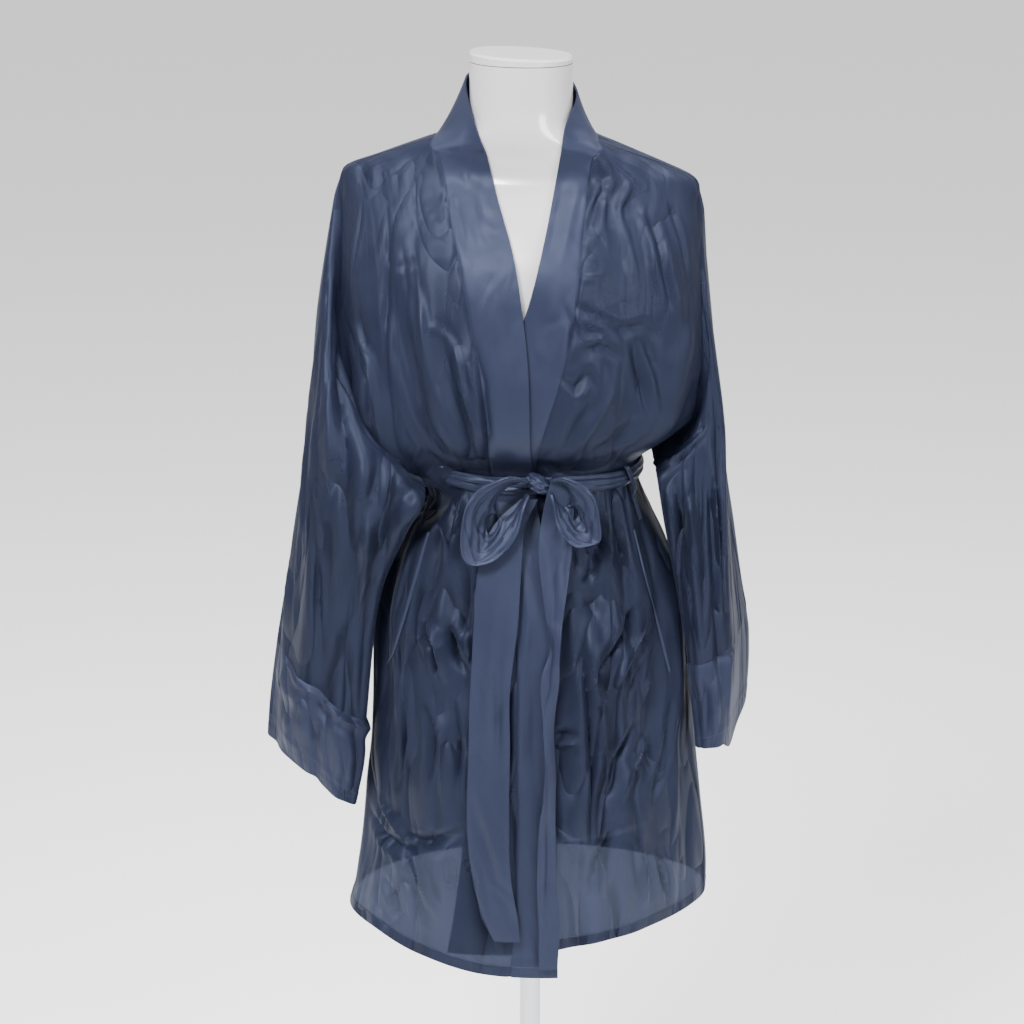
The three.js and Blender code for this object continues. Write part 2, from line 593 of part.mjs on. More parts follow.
function buildNeckCap() {
  const segments = 36;
  const top = FORM_SECTIONS[FORM_SECTIONS.length - 1];
  const ring = (rise, scale, slope) =>
    Array.from({ length: segments }, (_, i) => {
      const point = formPoint((i * 360) / segments, top.z);
      const x = top.shift + (point.x - top.shift) * scale;
      return new THREE.Vector3(x, point.y * scale, point.z + rise - slope * (x - top.shift));
    });
  const rings = [ring(0.35, 1, 0), ring(6, 1, 0.035), ring(8.5, 0.97, 0.035)];
  return stackedRings("form_neck_cap", COLOURS.form, rings, 0.2);
}

function buildStand() {
  const socket = 60;
  const collar = lathe(
    "pole_collar",
    COLOURS.metal,
    [
      [POLE_RADIUS + 0.3, FORM_FLOOR_Z - 38],
      [24, FORM_FLOOR_Z - 38],
      [24, FORM_FLOOR_Z - 6],
      [34, FORM_FLOOR_Z - 4],
      [34, FORM_FLOOR_Z - 0.3],
      [POLE_RADIUS + 0.3, FORM_FLOOR_Z - 0.3],
      [POLE_RADIUS + 0.3, FORM_FLOOR_Z - 38],
    ],
    28,
    0.35,
    0.9,
  );
  const pole = lathe(
    "pole",
    COLOURS.metal,
    [
      [0, FOOT_PLATE + 4],
      [POLE_RADIUS, FOOT_PLATE + 4],
      [POLE_RADIUS, FORM_FLOOR_Z - 0.6],
      [0, FORM_FLOOR_Z - 0.6],
    ],
    28,
    0.3,
    0.9,
  );
  const foot = lathe(
    "foot",
    COLOURS.foot,
    [
      [0, 0],
      [FOOT_RADIUS, 0],
      [FOOT_RADIUS, FOOT_PLATE - 3],
      [FOOT_RADIUS - 3, FOOT_PLATE],
      [32, FOOT_PLATE + 2],
      [22, FOOT_PLATE + 12],
      [20, socket],
      [POLE_RADIUS + 0.3, socket],
      [POLE_RADIUS + 0.3, FOOT_PLATE + 3.7],
      [0, FOOT_PLATE + 3.7],
    ],
    40,
    0.4,
    0.8,
  );
  return [collar, pole, foot];
}

// ---------------------------------------------------------------- body panels
// Height of a point of the skirt's lowest rows once the hem's dips are let in.
function hemmed(rowZ, bearing, hem) {
  if (rowZ >= HEM_DIPS_BELOW) {
    return rowZ;
  }
  const share = (HEM_DIPS_BELOW - rowZ) / (HEM_DIPS_BELOW - HEM_Z);
  return blend(HEM_DIPS_BELOW, column(hem, "z", bearing, "bearing"), share);
}

function frontPart(side) {
  return side < 0 ? "right" : "left";
}

// Outer edge of a front or back at a height: the shoulder seam, the armhole, then the side seam.
function outerBearing(z, part) {
  if (z > CORNER_Z) {
    return blend(86, 72, smoothStep(CORNER_Z, NECK_POINT_Z, z));
  }
  return z < UNDERARM_Z ? SIDE_SEAM : column(ARMHOLE, part, z);
}

// Seam of a front to its band. Above the band's straight part it follows the collar's first span.
function bandSeam(side, band, collar, z) {
  if (z <= band[band.length - 1].z) {
    return bearingAt(column(band, "seam", z), z);
  }
  const rows = collarRows(side, band, collar);
  let low = 0;
  let high = 1 / (rows.length - 1);
  for (let step = 0; step < 16; step += 1) {
    const middle = (low + high) / 2;
    if (alongTable(rows, middle, "seamZ") < z) {
      low = middle;
    } else {
      high = middle;
    }
  }
  return alongTable(rows, low, "seamBearing") + side * degreesAcross(5 * SEAM_GAP, z);
}

// The under front and its band sink beneath the over front.
function lapDepth(bearing, z) {
  const lapped = smoothStep(1290, 1235, z);
  if (lapped === 0) {
    return 0;
  }
  const edge = bearingAt(column(OVER_BAND, "edge", z), z);
  return LAP_LIFT * lapped * smoothStep(edge + 13, edge + 3, bearing);
}

// A point of a front or its straight band: the under side sinks beneath the over side.
function lappedPoint(side, bearing, z) {
  const under = side > 0 ? lapDepth(bearing, z) : 0;
  return gownPoint(bearing, hemmed(z, bearing, side > 0 ? UNDER_HEM : OVER_HEM), -under);
}

function buildFront(name, side, band, collar, heights, across) {
  const grid = spread(0, 1, across).map((share) =>
    heights.map((z) => {
      const gap = side * degreesAcross(SEAM_GAP, z);
      const inner = bandSeam(side, band, collar, z) + gap;
      const outer = side * outerBearing(z, frontPart(side)) - gap;
      return lappedPoint(side, blend(inner, outer, share), z);
    }),
  );
  return clothWall(name, side < 0 ? grid.reverse() : grid, CLOTH);
}

// Seam of the back to the collar, as a height for each bearing from the shoulder seam to the centre.
function backNeckHeight(bearing, collar) {
  const rows = collar.map((row) => ({ bearing: Math.abs(row.seamBearing), height: row.seamZ }));
  return column(rows, "height", bearing, "bearing");
}

// The back comes over the shoulders to the shoulder seams.
function buildBack(heights, across) {
  const squeezeFrom = 1330;
  const topRow = heights[heights.length - 1];
  const grid = spread(-1, 1, across * 2 - 1).map((place) =>
    heights.map((rowZ) => {
      const collar = place < 0 ? OVER_COLLAR : UNDER_COLLAR;
      const share = 1 - Math.abs(place);
      const neck = blend(NECK_POINT_Z, BACK_NECK_Z, share) - SEAM_GAP - 1.6;
      const over = Math.max((rowZ - squeezeFrom) / (topRow - squeezeFrom), 0);
      const roughZ = rowZ <= squeezeFrom ? rowZ : blend(squeezeFrom, neck, over);
      const edge = outerBearing(roughZ, "back") + degreesAcross(SEAM_GAP, roughZ);
      const bearing = blend(edge, 180, share);
      const top = backNeckHeight(bearing, collar) - SEAM_GAP - 1.2;
      const around = place > 0 ? bearing : 360 - bearing;
      const z = rowZ <= squeezeFrom ? hemmed(rowZ, around, UNDER_HEM) : blend(squeezeFrom, top, over);
      return gownPoint(around, z);
    }),
  );
  return clothWall("back", grid.reverse(), CLOTH);
}

// ---------------------------------------------------------------- neckbands
function collarRows(side, band, collar) {
  const z = band[band.length - 1].z;
  const first = {
    seamBearing: bearingAt(column(band, "seam", z), z) - side * degreesAcross(SEAM_GAP, z),
    seamZ: z,
    edgeBearing: bearingAt(column(band, "edge", z), z),
    edgeZ: z,
  };
  return [first, ...collar];
}

// Value of a table's column at a share of its length, smooth through every row.
function alongTable(rows, along, key) {
  const spans = rows.length - 1;
  const place = Math.min(along * spans, spans - 1e-6);
  const index = Math.floor(place);
  const row = (k) => rows[Math.min(Math.max(k, 0), spans)][key];
  return hermite(row(index - 1), row(index), row(index + 1), row(index + 2), place - index);
}

// A collar's free edge, smooth through the rows' own points and forward of the form's neck.
function collarEdge(rows, along) {
  const points = rows.map((row) => gownPoint(row.edgeBearing, row.edgeZ, 0));
  const edge = new THREE.Vector3(...["x", "y", "z"].map((axis) => alongTable(points, along, axis)));
  edge.y -= COLLAR_FORWARD * smoothStep(0, 0.08, along) * smoothStep(0.3, 0.12, along);
  return edge;
}

// Across a collar the cloth leaves the chest and stands straight up to its free edge.
function collarPoint(rows, along, share) {
  const value = (key) => alongTable(rows, along, key);
  const seamZ = value("seamZ");
  const edgeZ = value("edgeZ");
  const lift = 1.5 * smoothStep(0, 0.3, along);
  const seam = gownPoint(value("seamBearing"), seamZ, lift);
  const edge = collarEdge(rows, along);
  const straight = seam.lerp(edge, share);
  const bearing = blend(value("seamBearing"), value("edgeBearing"), share);
  const lying = gownPoint(bearing, blend(seamZ, edgeZ, share), 0);
  lying.addScaledVector(edge, share);
  lying.addScaledVector(gownPoint(value("edgeBearing"), edgeZ, 0), -share);
  return lying.lerp(straight, smoothStep(0, 0.35, along));
}

function buildBand(name, side, band, collar, heights, across) {
  const rows = collarRows(side, band, collar);
  const collarSteps = spread(0, 1, 11).slice(1);
  const grid = spread(0, 1, across).map((share) => {
    const straight = heights.map((z) => {
      const seam = bearingAt(column(band, "seam", z), z) - side * degreesAcross(SEAM_GAP, z);
      const bearing = blend(seam, bearingAt(column(band, "edge", z), z), share);
      return lappedPoint(side, bearing, z);
    });
    return [...straight, ...collarSteps.map((along) => collarPoint(rows, along, share))];
  });
  return clothWall(name, side > 0 ? grid.reverse() : grid, CLOTH);
}

// ---------------------------------------------------------------- sleeves
function armholePoint(side, around) {
  const front = around <= 0.5;
  const down = front ? around * 2 : (1 - around) * 2;
  const z = blend(CORNER_Z, UNDERARM_Z, (1 - Math.cos(Math.PI * down)) / 2);
  const part = front ? frontPart(side) : "back";
  const away = degreesAcross(SEAM_GAP + 1.5, z) * (front ? 1 : -1);
  const outside = (front ? 2.3 : 3.3) + 4.8 * smoothStep(0.3, 0.7, down);
  return gownPoint(side * (outerBearing(z, part) + away), z, outside);
}

// A closed smooth curve through the outer, front, inner and back points of a ring.
function ringPoint(row, around) {
  const points = [
    [row.ox, row.oy, row.oz],
    [row.fx, row.fy, row.fz],
    [row.ix, row.iy, row.iz],
    [row.bx, row.by, row.bz],
  ];
  const place = (((around % 1) + 1) % 1) * 4;
  const index = Math.floor(place);
  const at = (k, axis) => points[(k + 8) % 4][axis];
  const value = (axis) => {
    const [a, b, c, d] = [index - 1, index, index + 1, index + 2].map((k) => at(k, axis));
    return hermite(a, b, c, d, place - index);
  };
  return new THREE.Vector3(value(0), value(1), value(2));
}

function tubeGrid(side, rings, around, steps) {
  const spans = rings.length - 1;
  const grid = spread(0, 1 - 1 / around, around).map((turn) =>
    spread(0, 1, steps).map((along) => {
      const place = Math.min(along * spans, spans - 1e-6);
      const index = Math.floor(place);
      const ring = (k) => rings[Math.min(Math.max(k, 0), spans)](turn);
      const [a, b, c, d] = [index - 1, index, index + 1, index + 2].map(ring);
      const value = (axis) => hermite(a[axis], b[axis], c[axis], d[axis], place - index);
      return new THREE.Vector3(value("x"), value("y"), value("z"));
    }),
  );
  return side < 0 ? grid.reverse() : grid;
}

function foldedTube(grid, side, folds) {
  const normals = gridNormals(grid, true);
  const count = grid.length;
  return grid.map((line, i) =>
    line.map((point, j) => {
      const turn = side < 0 ? 1 - (i + 1) / count : i / count;
      const along = j / (line.length - 1);
      let lift = 0;
      for (const fold of folds) {
        const profile = Math.exp(-(((turn - fold.at) / fold.wide) ** 2) * 1.4);
        const reach = smoothStep(fold.from, fold.from + 0.25, along);
        const ending = fold.to >= 1 ? 1 : smoothStep(fold.to, fold.to - 0.25, along);
        lift += fold.deep * profile * reach * ending;
      }
      return point.clone().addScaledVector(normals[i][j], lift);
    }),
  );
}

function sleeveGrid(side, table, around, steps) {
  const rings = [(turn) => armholePoint(side, turn), ...table.map((row) => (turn) => ringPoint(row, turn))];
  return foldedTube(tubeGrid(side, rings, around, steps), side, SLEEVE_FOLDS);
}

// A cuff starts on the sleeve's own end and takes on the shape of its rings further down.
function cuffGrid(side, table, sleeve, folds, steps) {
  const rings = table.map((row) => (turn) => ringPoint(row, turn));
  const grid = foldedTube(tubeGrid(side, rings, sleeve.length, steps), side, folds);
  return grid.map((line, i) => {
    const end = sleeve[i][sleeve[i].length - 1];
    const onward = line[1].clone().sub(line[0]).normalize();
    const start = end.clone().addScaledVector(onward, SEAM_GAP);
    const offset = start.sub(line[0]);
    const near = (j) => 1 - smoothStep(0, 0.8, j / (steps - 1));
    return line.map((point, j) => point.clone().addScaledVector(offset, near(j)));
  });
}

function buildSleeveAndCuff(label, side, sleeveTable, cuffTable, cuffFolds) {
  const sleeve = sleeveGrid(side, sleeveTable, SLEEVE_AROUND, SLEEVE_STEPS);
  const cuff = cuffGrid(side, cuffTable, sleeve, cuffFolds, CUFF_STEPS);
  return [clothWall(`sleeve_${label}`, sleeve, CLOTH, true), clothWall(`cuff_${label}`, cuff, CLOTH, true)];
}

// ---------------------------------------------------------------- belt
function buildBelt() {
  const rows = [
    { drop: BELT_CORD / 2, out: 0 },
    { drop: BELT_CORD / 6, out: 2.2 },
    { drop: -BELT_CORD / 6, out: 2.4 },
    { drop: -BELT_CORD / 2, out: 0.2 },
  ];
  const clear = CLOTH / 2 + BELT_WALL / 2 + 1.4;
  const grid = spread(0, 360 - 360 / 36, 36).map((bearing) =>
    [...rows].reverse().map((row) => {
      const wave = 0.7 * Math.sin(radians(bearing * 5));
      return gownPoint(bearing, BELT_Z + row.drop + wave, clear + row.out);
    }),
  );
  return clothWall("belt_waist", grid, BELT_WALL, true);
}

function buildTail(name, table, steps) {
  const low = table[0].z;
  const high = table[table.length - 1].z;
  const clear = CLOTH / 2 + BELT_WALL / 2;
  const grid = spread(0, 1, 4).map((share) =>
    spread(low, high, steps).map((z) => {
      const edge = (x, out) => {
        const bearing = bearingAt(column(table, x, z), z);
        return gownPoint(bearing, z, clear + column(table, out, z));
      };
      const point = edge("leftX", "leftOut").lerp(edge("rightX", "rightOut"), share);
      return point.add(new THREE.Vector3(0, -1.5 * Math.sin(Math.PI * share), 0));
    }),
  );
  return clothWall(name, grid, BELT_WALL);
}

// A loop of the bow: the strip's width leans out from the loop's middle.
function buildLoop(name, side, table, steps) {
  const middle = new THREE.Vector3();
  table.forEach((row) => middle.add(new THREE.Vector3(row.x, row.y, row.z)));
  middle.divideScalar(table.length);
  const grid = spread(0.5, -0.5, 4).map((across) =>
    spread(0, 1, steps).map((along) => {
      const value = (key) => alongTable(table, along, key);
      const point = new THREE.Vector3(value("x"), value("y"), value("z"));
      const outward = point.clone().sub(middle).setY(0).normalize();
      const lean = value("lean");
      const width = new THREE.Vector3(outward.x * lean, -Math.sqrt(1 - lean * lean), outward.z * lean);
      return point.addScaledVector(width, across * value("wide"));
    }),
  );
  return clothWall(name, side < 0 ? grid : grid.reverse(), BELT_WALL);
}

function buildKnot() {
  const centre = new THREE.Vector3(8, -107.4, 1064);
  const rings = spread(-80, 80, 9).map((latitude) =>
    Array.from({ length: 18 }, (_, i) => {
      const turn = (i * 2 * Math.PI) / 18;
      const crease = 1 + 0.08 * Math.sin(3 * turn + radians(latitude * 2));
      const reach = Math.cos(radians(latitude)) * crease;
      return new THREE.Vector3(
        centre.x + 12 * reach * Math.cos(turn),
        centre.y + 11 * reach * Math.sin(turn),
        centre.z + 14 * Math.sin(radians(latitude)),
      );
    }),
  );
  return stackedRings("belt_knot", COLOURS.satin, rings, 0.45);
}

// ---------------------------------------------------------------- small pieces on the panels
function buildStrip(name, row, width, wall, out) {
  const steps = 10;
  const grid = spread(-0.5, 0.5, 3).map((across) =>
    spread(0, 1, steps).map((along) => {
      const z = blend(row.lowZ, row.topZ, along);
      const x = blend(row.lowX, row.topX, along);
      const bearing = bearingAt(x, z) + degreesAcross(width * across, z);
      return gownPoint(bearing, z, out(z));
    }),
  );
  return clothWall(name, grid, wall);
}

function carrierOut(z) {
  const overBelt = smoothStep(BELT_Z - 24, BELT_Z - 12, z);
  return CLOTH + 0.9 + 7.4 * overBelt;
}

// ---------------------------------------------------------------- the whole
const group = new THREE.Group();
group.name = "dressing_gown";
group.add(
  buildForm(),
  buildNeckCap(),
  ...buildStand(),
  buildBack(BACK_HEIGHTS, 13),
  buildFront("front_right", -1, OVER_BAND, OVER_COLLAR, FRONT_HEIGHTS, 12),
  buildFront("front_left", 1, UNDER_BAND, UNDER_COLLAR, FRONT_HEIGHTS, 12),
  buildBand("neckband_right", -1, OVER_BAND, OVER_COLLAR, BAND_HEIGHTS, 4),
  buildBand("neckband_left", 1, UNDER_BAND, UNDER_COLLAR, BAND_HEIGHTS, 4),
  ...buildSleeveAndCuff("right", -1, RIGHT_SLEEVE, RIGHT_CUFF, RIGHT_CUFF_FOLDS),
  ...buildSleeveAndCuff("left", 1, LEFT_SLEEVE, LEFT_CUFF, LEFT_CUFF_FOLDS),
  buildBelt(),
  buildKnot(),
  buildLoop("bow_loop_right", -1, RIGHT_LOOP, 17),
  buildLoop("bow_loop_left", 1, LEFT_LOOP, 15),
  buildTail("belt_tail_right", RIGHT_TAIL, 16),
  buildTail("belt_tail_left", LEFT_TAIL, 18),
  ...CARRIERS.map((row) => buildStrip(row.name, row, 7, 1.5, carrierOut)),
  ...POCKET_EDGES.map((row) => buildStrip(row.name, row, 5, 1, () => CLOTH / 2 + 0.5 + 2.2)),
);

export default group;
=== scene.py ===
"""Satin dressing gown tied with its own belt, on a white limbless dress form with a stand.

Tables and functions are in millimetres, Z up, with the gown's front at -Y, as in the CAD part.
Meshes are made in metres. "Right" in a name is the wearer's right, at the viewer's left.
"""

import math

import bpy
import mathutils
import numpy as np
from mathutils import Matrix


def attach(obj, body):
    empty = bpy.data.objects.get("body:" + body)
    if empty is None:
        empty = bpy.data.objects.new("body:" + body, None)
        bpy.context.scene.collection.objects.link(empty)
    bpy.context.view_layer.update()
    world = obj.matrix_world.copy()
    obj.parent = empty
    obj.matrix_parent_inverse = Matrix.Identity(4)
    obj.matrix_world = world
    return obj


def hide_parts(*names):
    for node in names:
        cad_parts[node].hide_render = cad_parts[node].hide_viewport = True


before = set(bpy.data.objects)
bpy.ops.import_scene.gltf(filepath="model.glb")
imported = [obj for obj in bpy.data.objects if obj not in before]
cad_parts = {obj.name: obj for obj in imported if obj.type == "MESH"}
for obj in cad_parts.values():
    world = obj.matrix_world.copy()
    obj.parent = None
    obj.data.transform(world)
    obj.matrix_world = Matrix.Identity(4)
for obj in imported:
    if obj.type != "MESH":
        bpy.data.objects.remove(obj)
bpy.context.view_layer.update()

MM = 0.001
RADIANS = math.pi / 180  # in a degree

# Walls of the shells, and gaps between them
CLOTH = 1.1
HEM_CLOTH = 1.9  # turned up
BAND_CLOTH = 1.9  # the neckbands are double
BELT_WALL = 2.2
CAD_HALF_WALL = 0.75
SEAM_GAP = 0.08

# Heights, and bearings in degrees from the front
HEM_Z = 545
HEM_DIPS_BELOW = 700
BELT_Z = 1060
UNDERARM_Z = 1078
BACK_EASES_FROM = 1330  # the back's rows spread from here up to its neckline
CORNER_Z = 1376
BAND_TOP_Z = 1400
NECK_POINT_Z = 1411
BACK_NECK_Z = 1427
SIDE_SEAM = 97
SHOULDER_SEAM = 86
SHOULDER_SEAM_AT_NECK = 72
FRONT_REACH = 88.0  # no point of the front lies further round

# The form's shoulders are turned and dropped a little to one side.
TURN_BETWEEN = (1000, 1300)
SHOULDER_TURN = 7
SHOULDER_DROP = 0.016
SQUARENESS = 2.15

# Rows and columns of the grids
HEM_DEPTH = 12.0
HEM_ROWS = np.array([0, 0.8, 2.5, 5, 8, 10.5, 11.6, 12.6, 14, 16.5])
HEM_ROWS_END = 20
FRONT_STEP = 3.35
BACK_STEP = 3.5
SEAM_COLUMNS = np.array([0, 1.0, 2.2, 4.0])
SEAM_COLUMNS_END = 6
FRONT_WIDTH = 250
BACK_WIDTH = 290
BAND_WIDTH = 55
COLLAR_STEPS = 90
SLEEVE_STEPS = 112

# Cloth: depths and distances
SEWN_DIP = 0.6  # how far a side seam or an armhole is drawn in
ARMHOLE_EASE = 1.5
ARMHOLE_OUT = (2.3, 3.3)  # how far the sleeve stands out in front and behind
UNDERARM_OUT = 4.8
LAP_LIFT = 5.0
LAP_BETWEEN = (1290, 1235)
LAP_EASES = (13, 3)  # degrees past the over front's edge
COLLAR_LIFT = 1.5
COLLAR_CLEAR = 0.1  # between the back's upper edge and the collar's seam
NECK_CLEAR = 1.6
COLLAR_FORWARD = 5
BLOUSE_DROP = 30
BLOUSE_HEIGHTS = (995, 1075, 1090, 1230)
BLOUSE_BEARINGS = (-38, -58, -80, -97)
FOLD_SHARPNESS = 1.4
FOLD_ENDS = 0.3  # share of its length over which a fold dies out
CREASE_SCALE = 1.6
CREASE_CLEAR = 2.6  # a crease stays this far from the form
CREASE_WHOLE = 60  # a shorter crease is less deep
CREASE_TIP = 0.25  # depth left at a crease's very ends
CREST = 0.8  # half-width of a crest, in widths of its crease
CREST_SHARPNESS = 1.4
SWELL = 0.3  # height of the swells beside a crest, as a share of it
BELT_CORD = 17  # height of the crushed belt
BELT_BULGE = 2.3
BELT_CLEAR = 1.4
LOOP_INWARD = 0.32  # how far a scrunched loop reaches inwards, as a share of its width
KNOT = (6.5, -109, 1067)
KNOT_HALF = (11.5, 9, 10)
KNOT_LEAN = 0.35


def table(names, *rows):
    """Columns by name from rows of numbers."""
    return dict(zip(names.split(), np.array(rows, float).T))


# ---------------------------------------------------------------- tables
# Sections give half-widths and depths at a height, and a shift sideways. Bands give the x of their
# seam and free edge, and collars the bearing and height of both. An armhole is a bearing at a height.
# Tails give x and distance out at both edges. Loops give a middle line with its lean and width.
# Sleeves and cuffs give the outer, front, inner and back point of each ring.
FORM_SECTIONS = table(
    "z half front back shift",
    (655, 138, 90, 92, 1),
    (662, 147, 98, 100, 1),
    (690, 155, 103, 108, 1),
    (760, 162, 106, 116, 1),
    (820, 164, 106, 118, 1),
    (880, 157, 101, 110, 1),
    (960, 132, 90, 90, 2),
    (1050, 104, 78, 74, 3),
    (1130, 120, 92, 80, 0),
    (1215, 142, 108, 88, -5),
    (1285, 153, 94, 90, -9),
    (1325, 168, 74, 85, -11),
    (1350, 180, 57, 74, -11),
    (1366, 180, 46, 63, -11),
    (1377, 170, 41, 57, -11),
    (1388, 147, 41, 54, -11),
    (1398, 122, 44, 54, -11),
    (1408, 95, 49, 56, -11),
    (1417, 71, 53, 57, -11),
    (1428, 57, 54, 56, -11),
    (1445, 54, 53, 54, -11),
    (1491, 54, 54, 54, -11),
)
GOWN_SECTIONS = table(
    "z left right front back shift",
    (530, 207, 195, 166, 158, -1),
    (600, 189, 198, 163, 155, -1),
    (680, 179, 190, 158, 151, -1),
    (790, 173, 178, 148, 143, -1),
    (900, 170, 166, 134, 132, 0),
    (960, 158, 151, 122, 120, 1),
    (1005, 140, 129, 108, 107, 2),
    (1030, 122, 117, 96, 94, 3),
    (1048, 113, 112, 91, 88, 3),
    (1068, 113, 112, 91, 88, 3),
    (1074, 119, 115, 94, 90, 3),
    (1082, 150, 126, 101, 95, 2),
    (1098, 171, 151, 116, 105, 0),
    (1120, 187, 177, 126, 110, -2),
    (1160, 195, 190, 129, 110, -4),
    (1215, 198, 195, 121, 105, -6),
    (1285, 194, 195, 103, 99, -10),
    (1325, 191, 191, 81, 91, -12),
    (1350, 192, 188, 63, 80, -12),
    (1366, 191, 188, 51, 69, -12),
    (1377, 183, 181, 46, 62, -12),
    (1388, 155, 155, 45, 58, -11),
    (1398, 129, 129, 47, 58, -11),
    (1408, 102, 102, 53, 60, -11),
    (1417, 77, 77, 57, 61, -11),
    (1428, 61, 61, 58, 60, -11),
    (1446, 58, 58, 58, 59, -11),
    (1490, 58, 58, 58, 59, -11),
)
OVER_BAND = table(
    "z seam edge",
    (530, -24, 29),
    (600, -18, 28),
    (740, -15, 25),
    (880, -16, 20),
    (1000, -32, 12),
    (1060, -41, 2),
    (1110, -46, -2),
    (1188, -55, -4),
    (1240, -65, -9),
    (1303, -77, -19),
    (1362, -90, -37),
    (1400, -100, -47),
)
UNDER_BAND = table(
    "z seam edge",
    (530, -46, -96),
    (600, -34, -84),
    (740, -18, -68),
    (880, -10, -60),
    (1000, -6, -54),
    (1060, 2, -50),
    (1110, 9, -46),
    (1172, 27, -31),
    (1216, 38, -19),
    (1252, 44, -5),
    (1300, 50, 8),
    (1362, 56, 22),
    (1400, 62, 29),
)
OVER_COLLAR = table(
    "seamBearing seamZ edgeBearing edgeZ",
    (-70, 1411, -48, 1434),
    (-92, 1414, -84, 1466),
    (-114, 1418, -108, 1476),
    (-142, 1424, -140, 1481),
    (-179.8, 1427, -179.8, 1483),
)
UNDER_COLLAR = table(
    "seamBearing seamZ edgeBearing edgeZ",
    (70, 1413, 55, 1430),
    (92, 1417, 84, 1451),
    (114, 1421, 108, 1462),
    (142, 1425, 140, 1474),
    (179.8, 1427, 179.8, 1483),
)
OVER_HEM = table(
    "bearing z",
    (-97, 546),
    (-60, 556),
    (-35, 545),
    (-12, 532),
    (20, 528),
)
UNDER_HEM = table(
    "bearing z",
    (-40, 548),
    (0, 555),
    (14, 563),
    (32, 572),
    (60, 577),
    (97, 566),
    (130, 553),
    (180, 548),
    (263, 546),
)
ARMHOLE = table(
    "z right left back",
    (1376, 86, 86, 86),
    (1366, 84, 84, 92),
    (1350, 82, 82, 97),
    (1300, 77, 77, 103),
    (1215, 74, 75, 106),
    (1150, 66, 76, 106),
    (1105, 57, 84, 103),
    (1090, 66, 91, 100),
    (1078, 97, 97, 97),
)
RIGHT_TAIL = table(
    "z leftX leftOut rightX rightOut",
    (575, -38, 6, -12, 7),
    (600, -48, 7, -14, 5),
    (640, -60, 4, -20, 6),
    (700, -66, 4, -23, 5),
    (790, -64, 4, -22, 4),
    (850, -62, 4, -22, 5),
    (920, -58, 5, -14, 6),
    (980, -52, 7, -10, 9),
    (1020, -36, 12, -6, 14),
    (1049.3, -9, 13, 6, 14.5),
)
LEFT_TAIL = table(
    "z leftX leftOut rightX rightOut",
    (542, 8, 5, 27, 4),
    (590, 8, 5, 29, 4),
    (640, 6, 6, 26, 4),
    (700, 8, 8, 24, 4),
    (760, 13, 12, 24, 4),
    (812, 11, 12, 22, 5),
    (862, 10, 5, 27, 8),
    (895, 19, 4, 27, 15),
    (935, 14, 5, 31, 11),
    (990, 7, 9, 38, 10),
    (1024, 9, 14, 38, 15),
    (1046, 12, 18, 38, 18),
    (1062, 15, 21, 35, 20),
    (1076, 19, 17, 31, 14),
)
RIGHT_LOOP = table(
    "x y z lean wide",
    (-5.0, -112, 1070, 0.2, 16),
    (-26, -120.2, 1071, 0.65, 24),
    (-50, -124.2, 1055, 0.75, 30),
    (-61, -126.2, 1030, 0.75, 32),
    (-62, -127.2, 1008, 0.75, 32),
    (-54, -129.2, 995, 0.75, 30),
    (-38, -129.2, 1002, 0.75, 28),
    (-20, -125.2, 1026, 0.6, 22),
    (-4.5, -115.2, 1055.8, 0.2, 14),
)
LEFT_LOOP = table(
    "x y z lean wide",
    (20.1, -111.2, 1070, 0.2, 16),
    (36, -120.2, 1070, 0.65, 24),
    (52, -123.2, 1056, 0.75, 28),
    (60, -124.2, 1034, 0.75, 30),
    (60, -125.2, 1018, 0.75, 28),
    (46, -127.2, 1013, 0.75, 26),
    (32, -124.2, 1030, 0.6, 22),
    (20.6, -112, 1057, 0.2, 14),
)
BODY_FOLDS = table(
    "top low from to wide deep",
    (1290, 1064, -40, -27, 7, -7),
    (1270, 1064, -30, -21, 5, 6),
    (1330, 1090, -58, -46, 8, 6),
    (1250, 1075, -52, -36, 6, -6),
    (1190, 1070, -66, -52, 7, 6),
    (1210, 1070, -72, -63, 5, -5),
    (1380, 1240, 36, 30, 7, -5),
    (1350, 1180, 50, 62, 7, 6),
    (1250, 1080, 44, 30, 6, -6),
    (1240, 1080, 60, 48, 7, 6),
    (1180, 1075, 72, 60, 6, -6),
    (1058, 900, -24, -26, 4.5, -6),
    (1058, 820, -33, -32, 5, 6),
    (1058, 860, -43, -42, 5, -6),
    (1055, 700, -58, -50, 7, 6),
    (1050, 720, -72, -66, 7, -7),
    (1058, 880, 22, 24, 4.5, -6),
    (1058, 800, 31, 30, 5, 6),
    (1058, 860, 41, 37, 5, -6),
    (1040, 700, 66, 38, 6, -7),
    (1040, 640, 78, 52, 7, 6),
    (900, 560, -62, -44, 7, -6),
    (840, 560, 62, 66, 8, -7),
    (760, 545, 34, 30, 7, 6),
    (760, 545, -84, -82, 8, 4),
    (1330, 1075, 122, 128, 7, -6),
    (1300, 1075, 142, 146, 8, 7),
    (1260, 1075, 162, 160, 6, -6),
    (1280, 1075, 184, 182, 7, 6),
    (1310, 1075, 204, 199, 7, -6),
    (1300, 1075, 222, 216, 8, 7),
    (1320, 1075, 242, 234, 7, -6),
    (1050, 760, 112, 110, 6, -6),
    (1050, 600, 128, 130, 8, 7),
    (1050, 820, 144, 142, 6, -6),
    (1050, 560, 160, 162, 8, 8),
    (1050, 780, 176, 178, 6, -6),
    (1050, 580, 193, 190, 8, 7),
    (1050, 800, 209, 212, 6, -6),
    (1050, 560, 226, 224, 8, 8),
    (1050, 760, 243, 246, 6, -6),
)
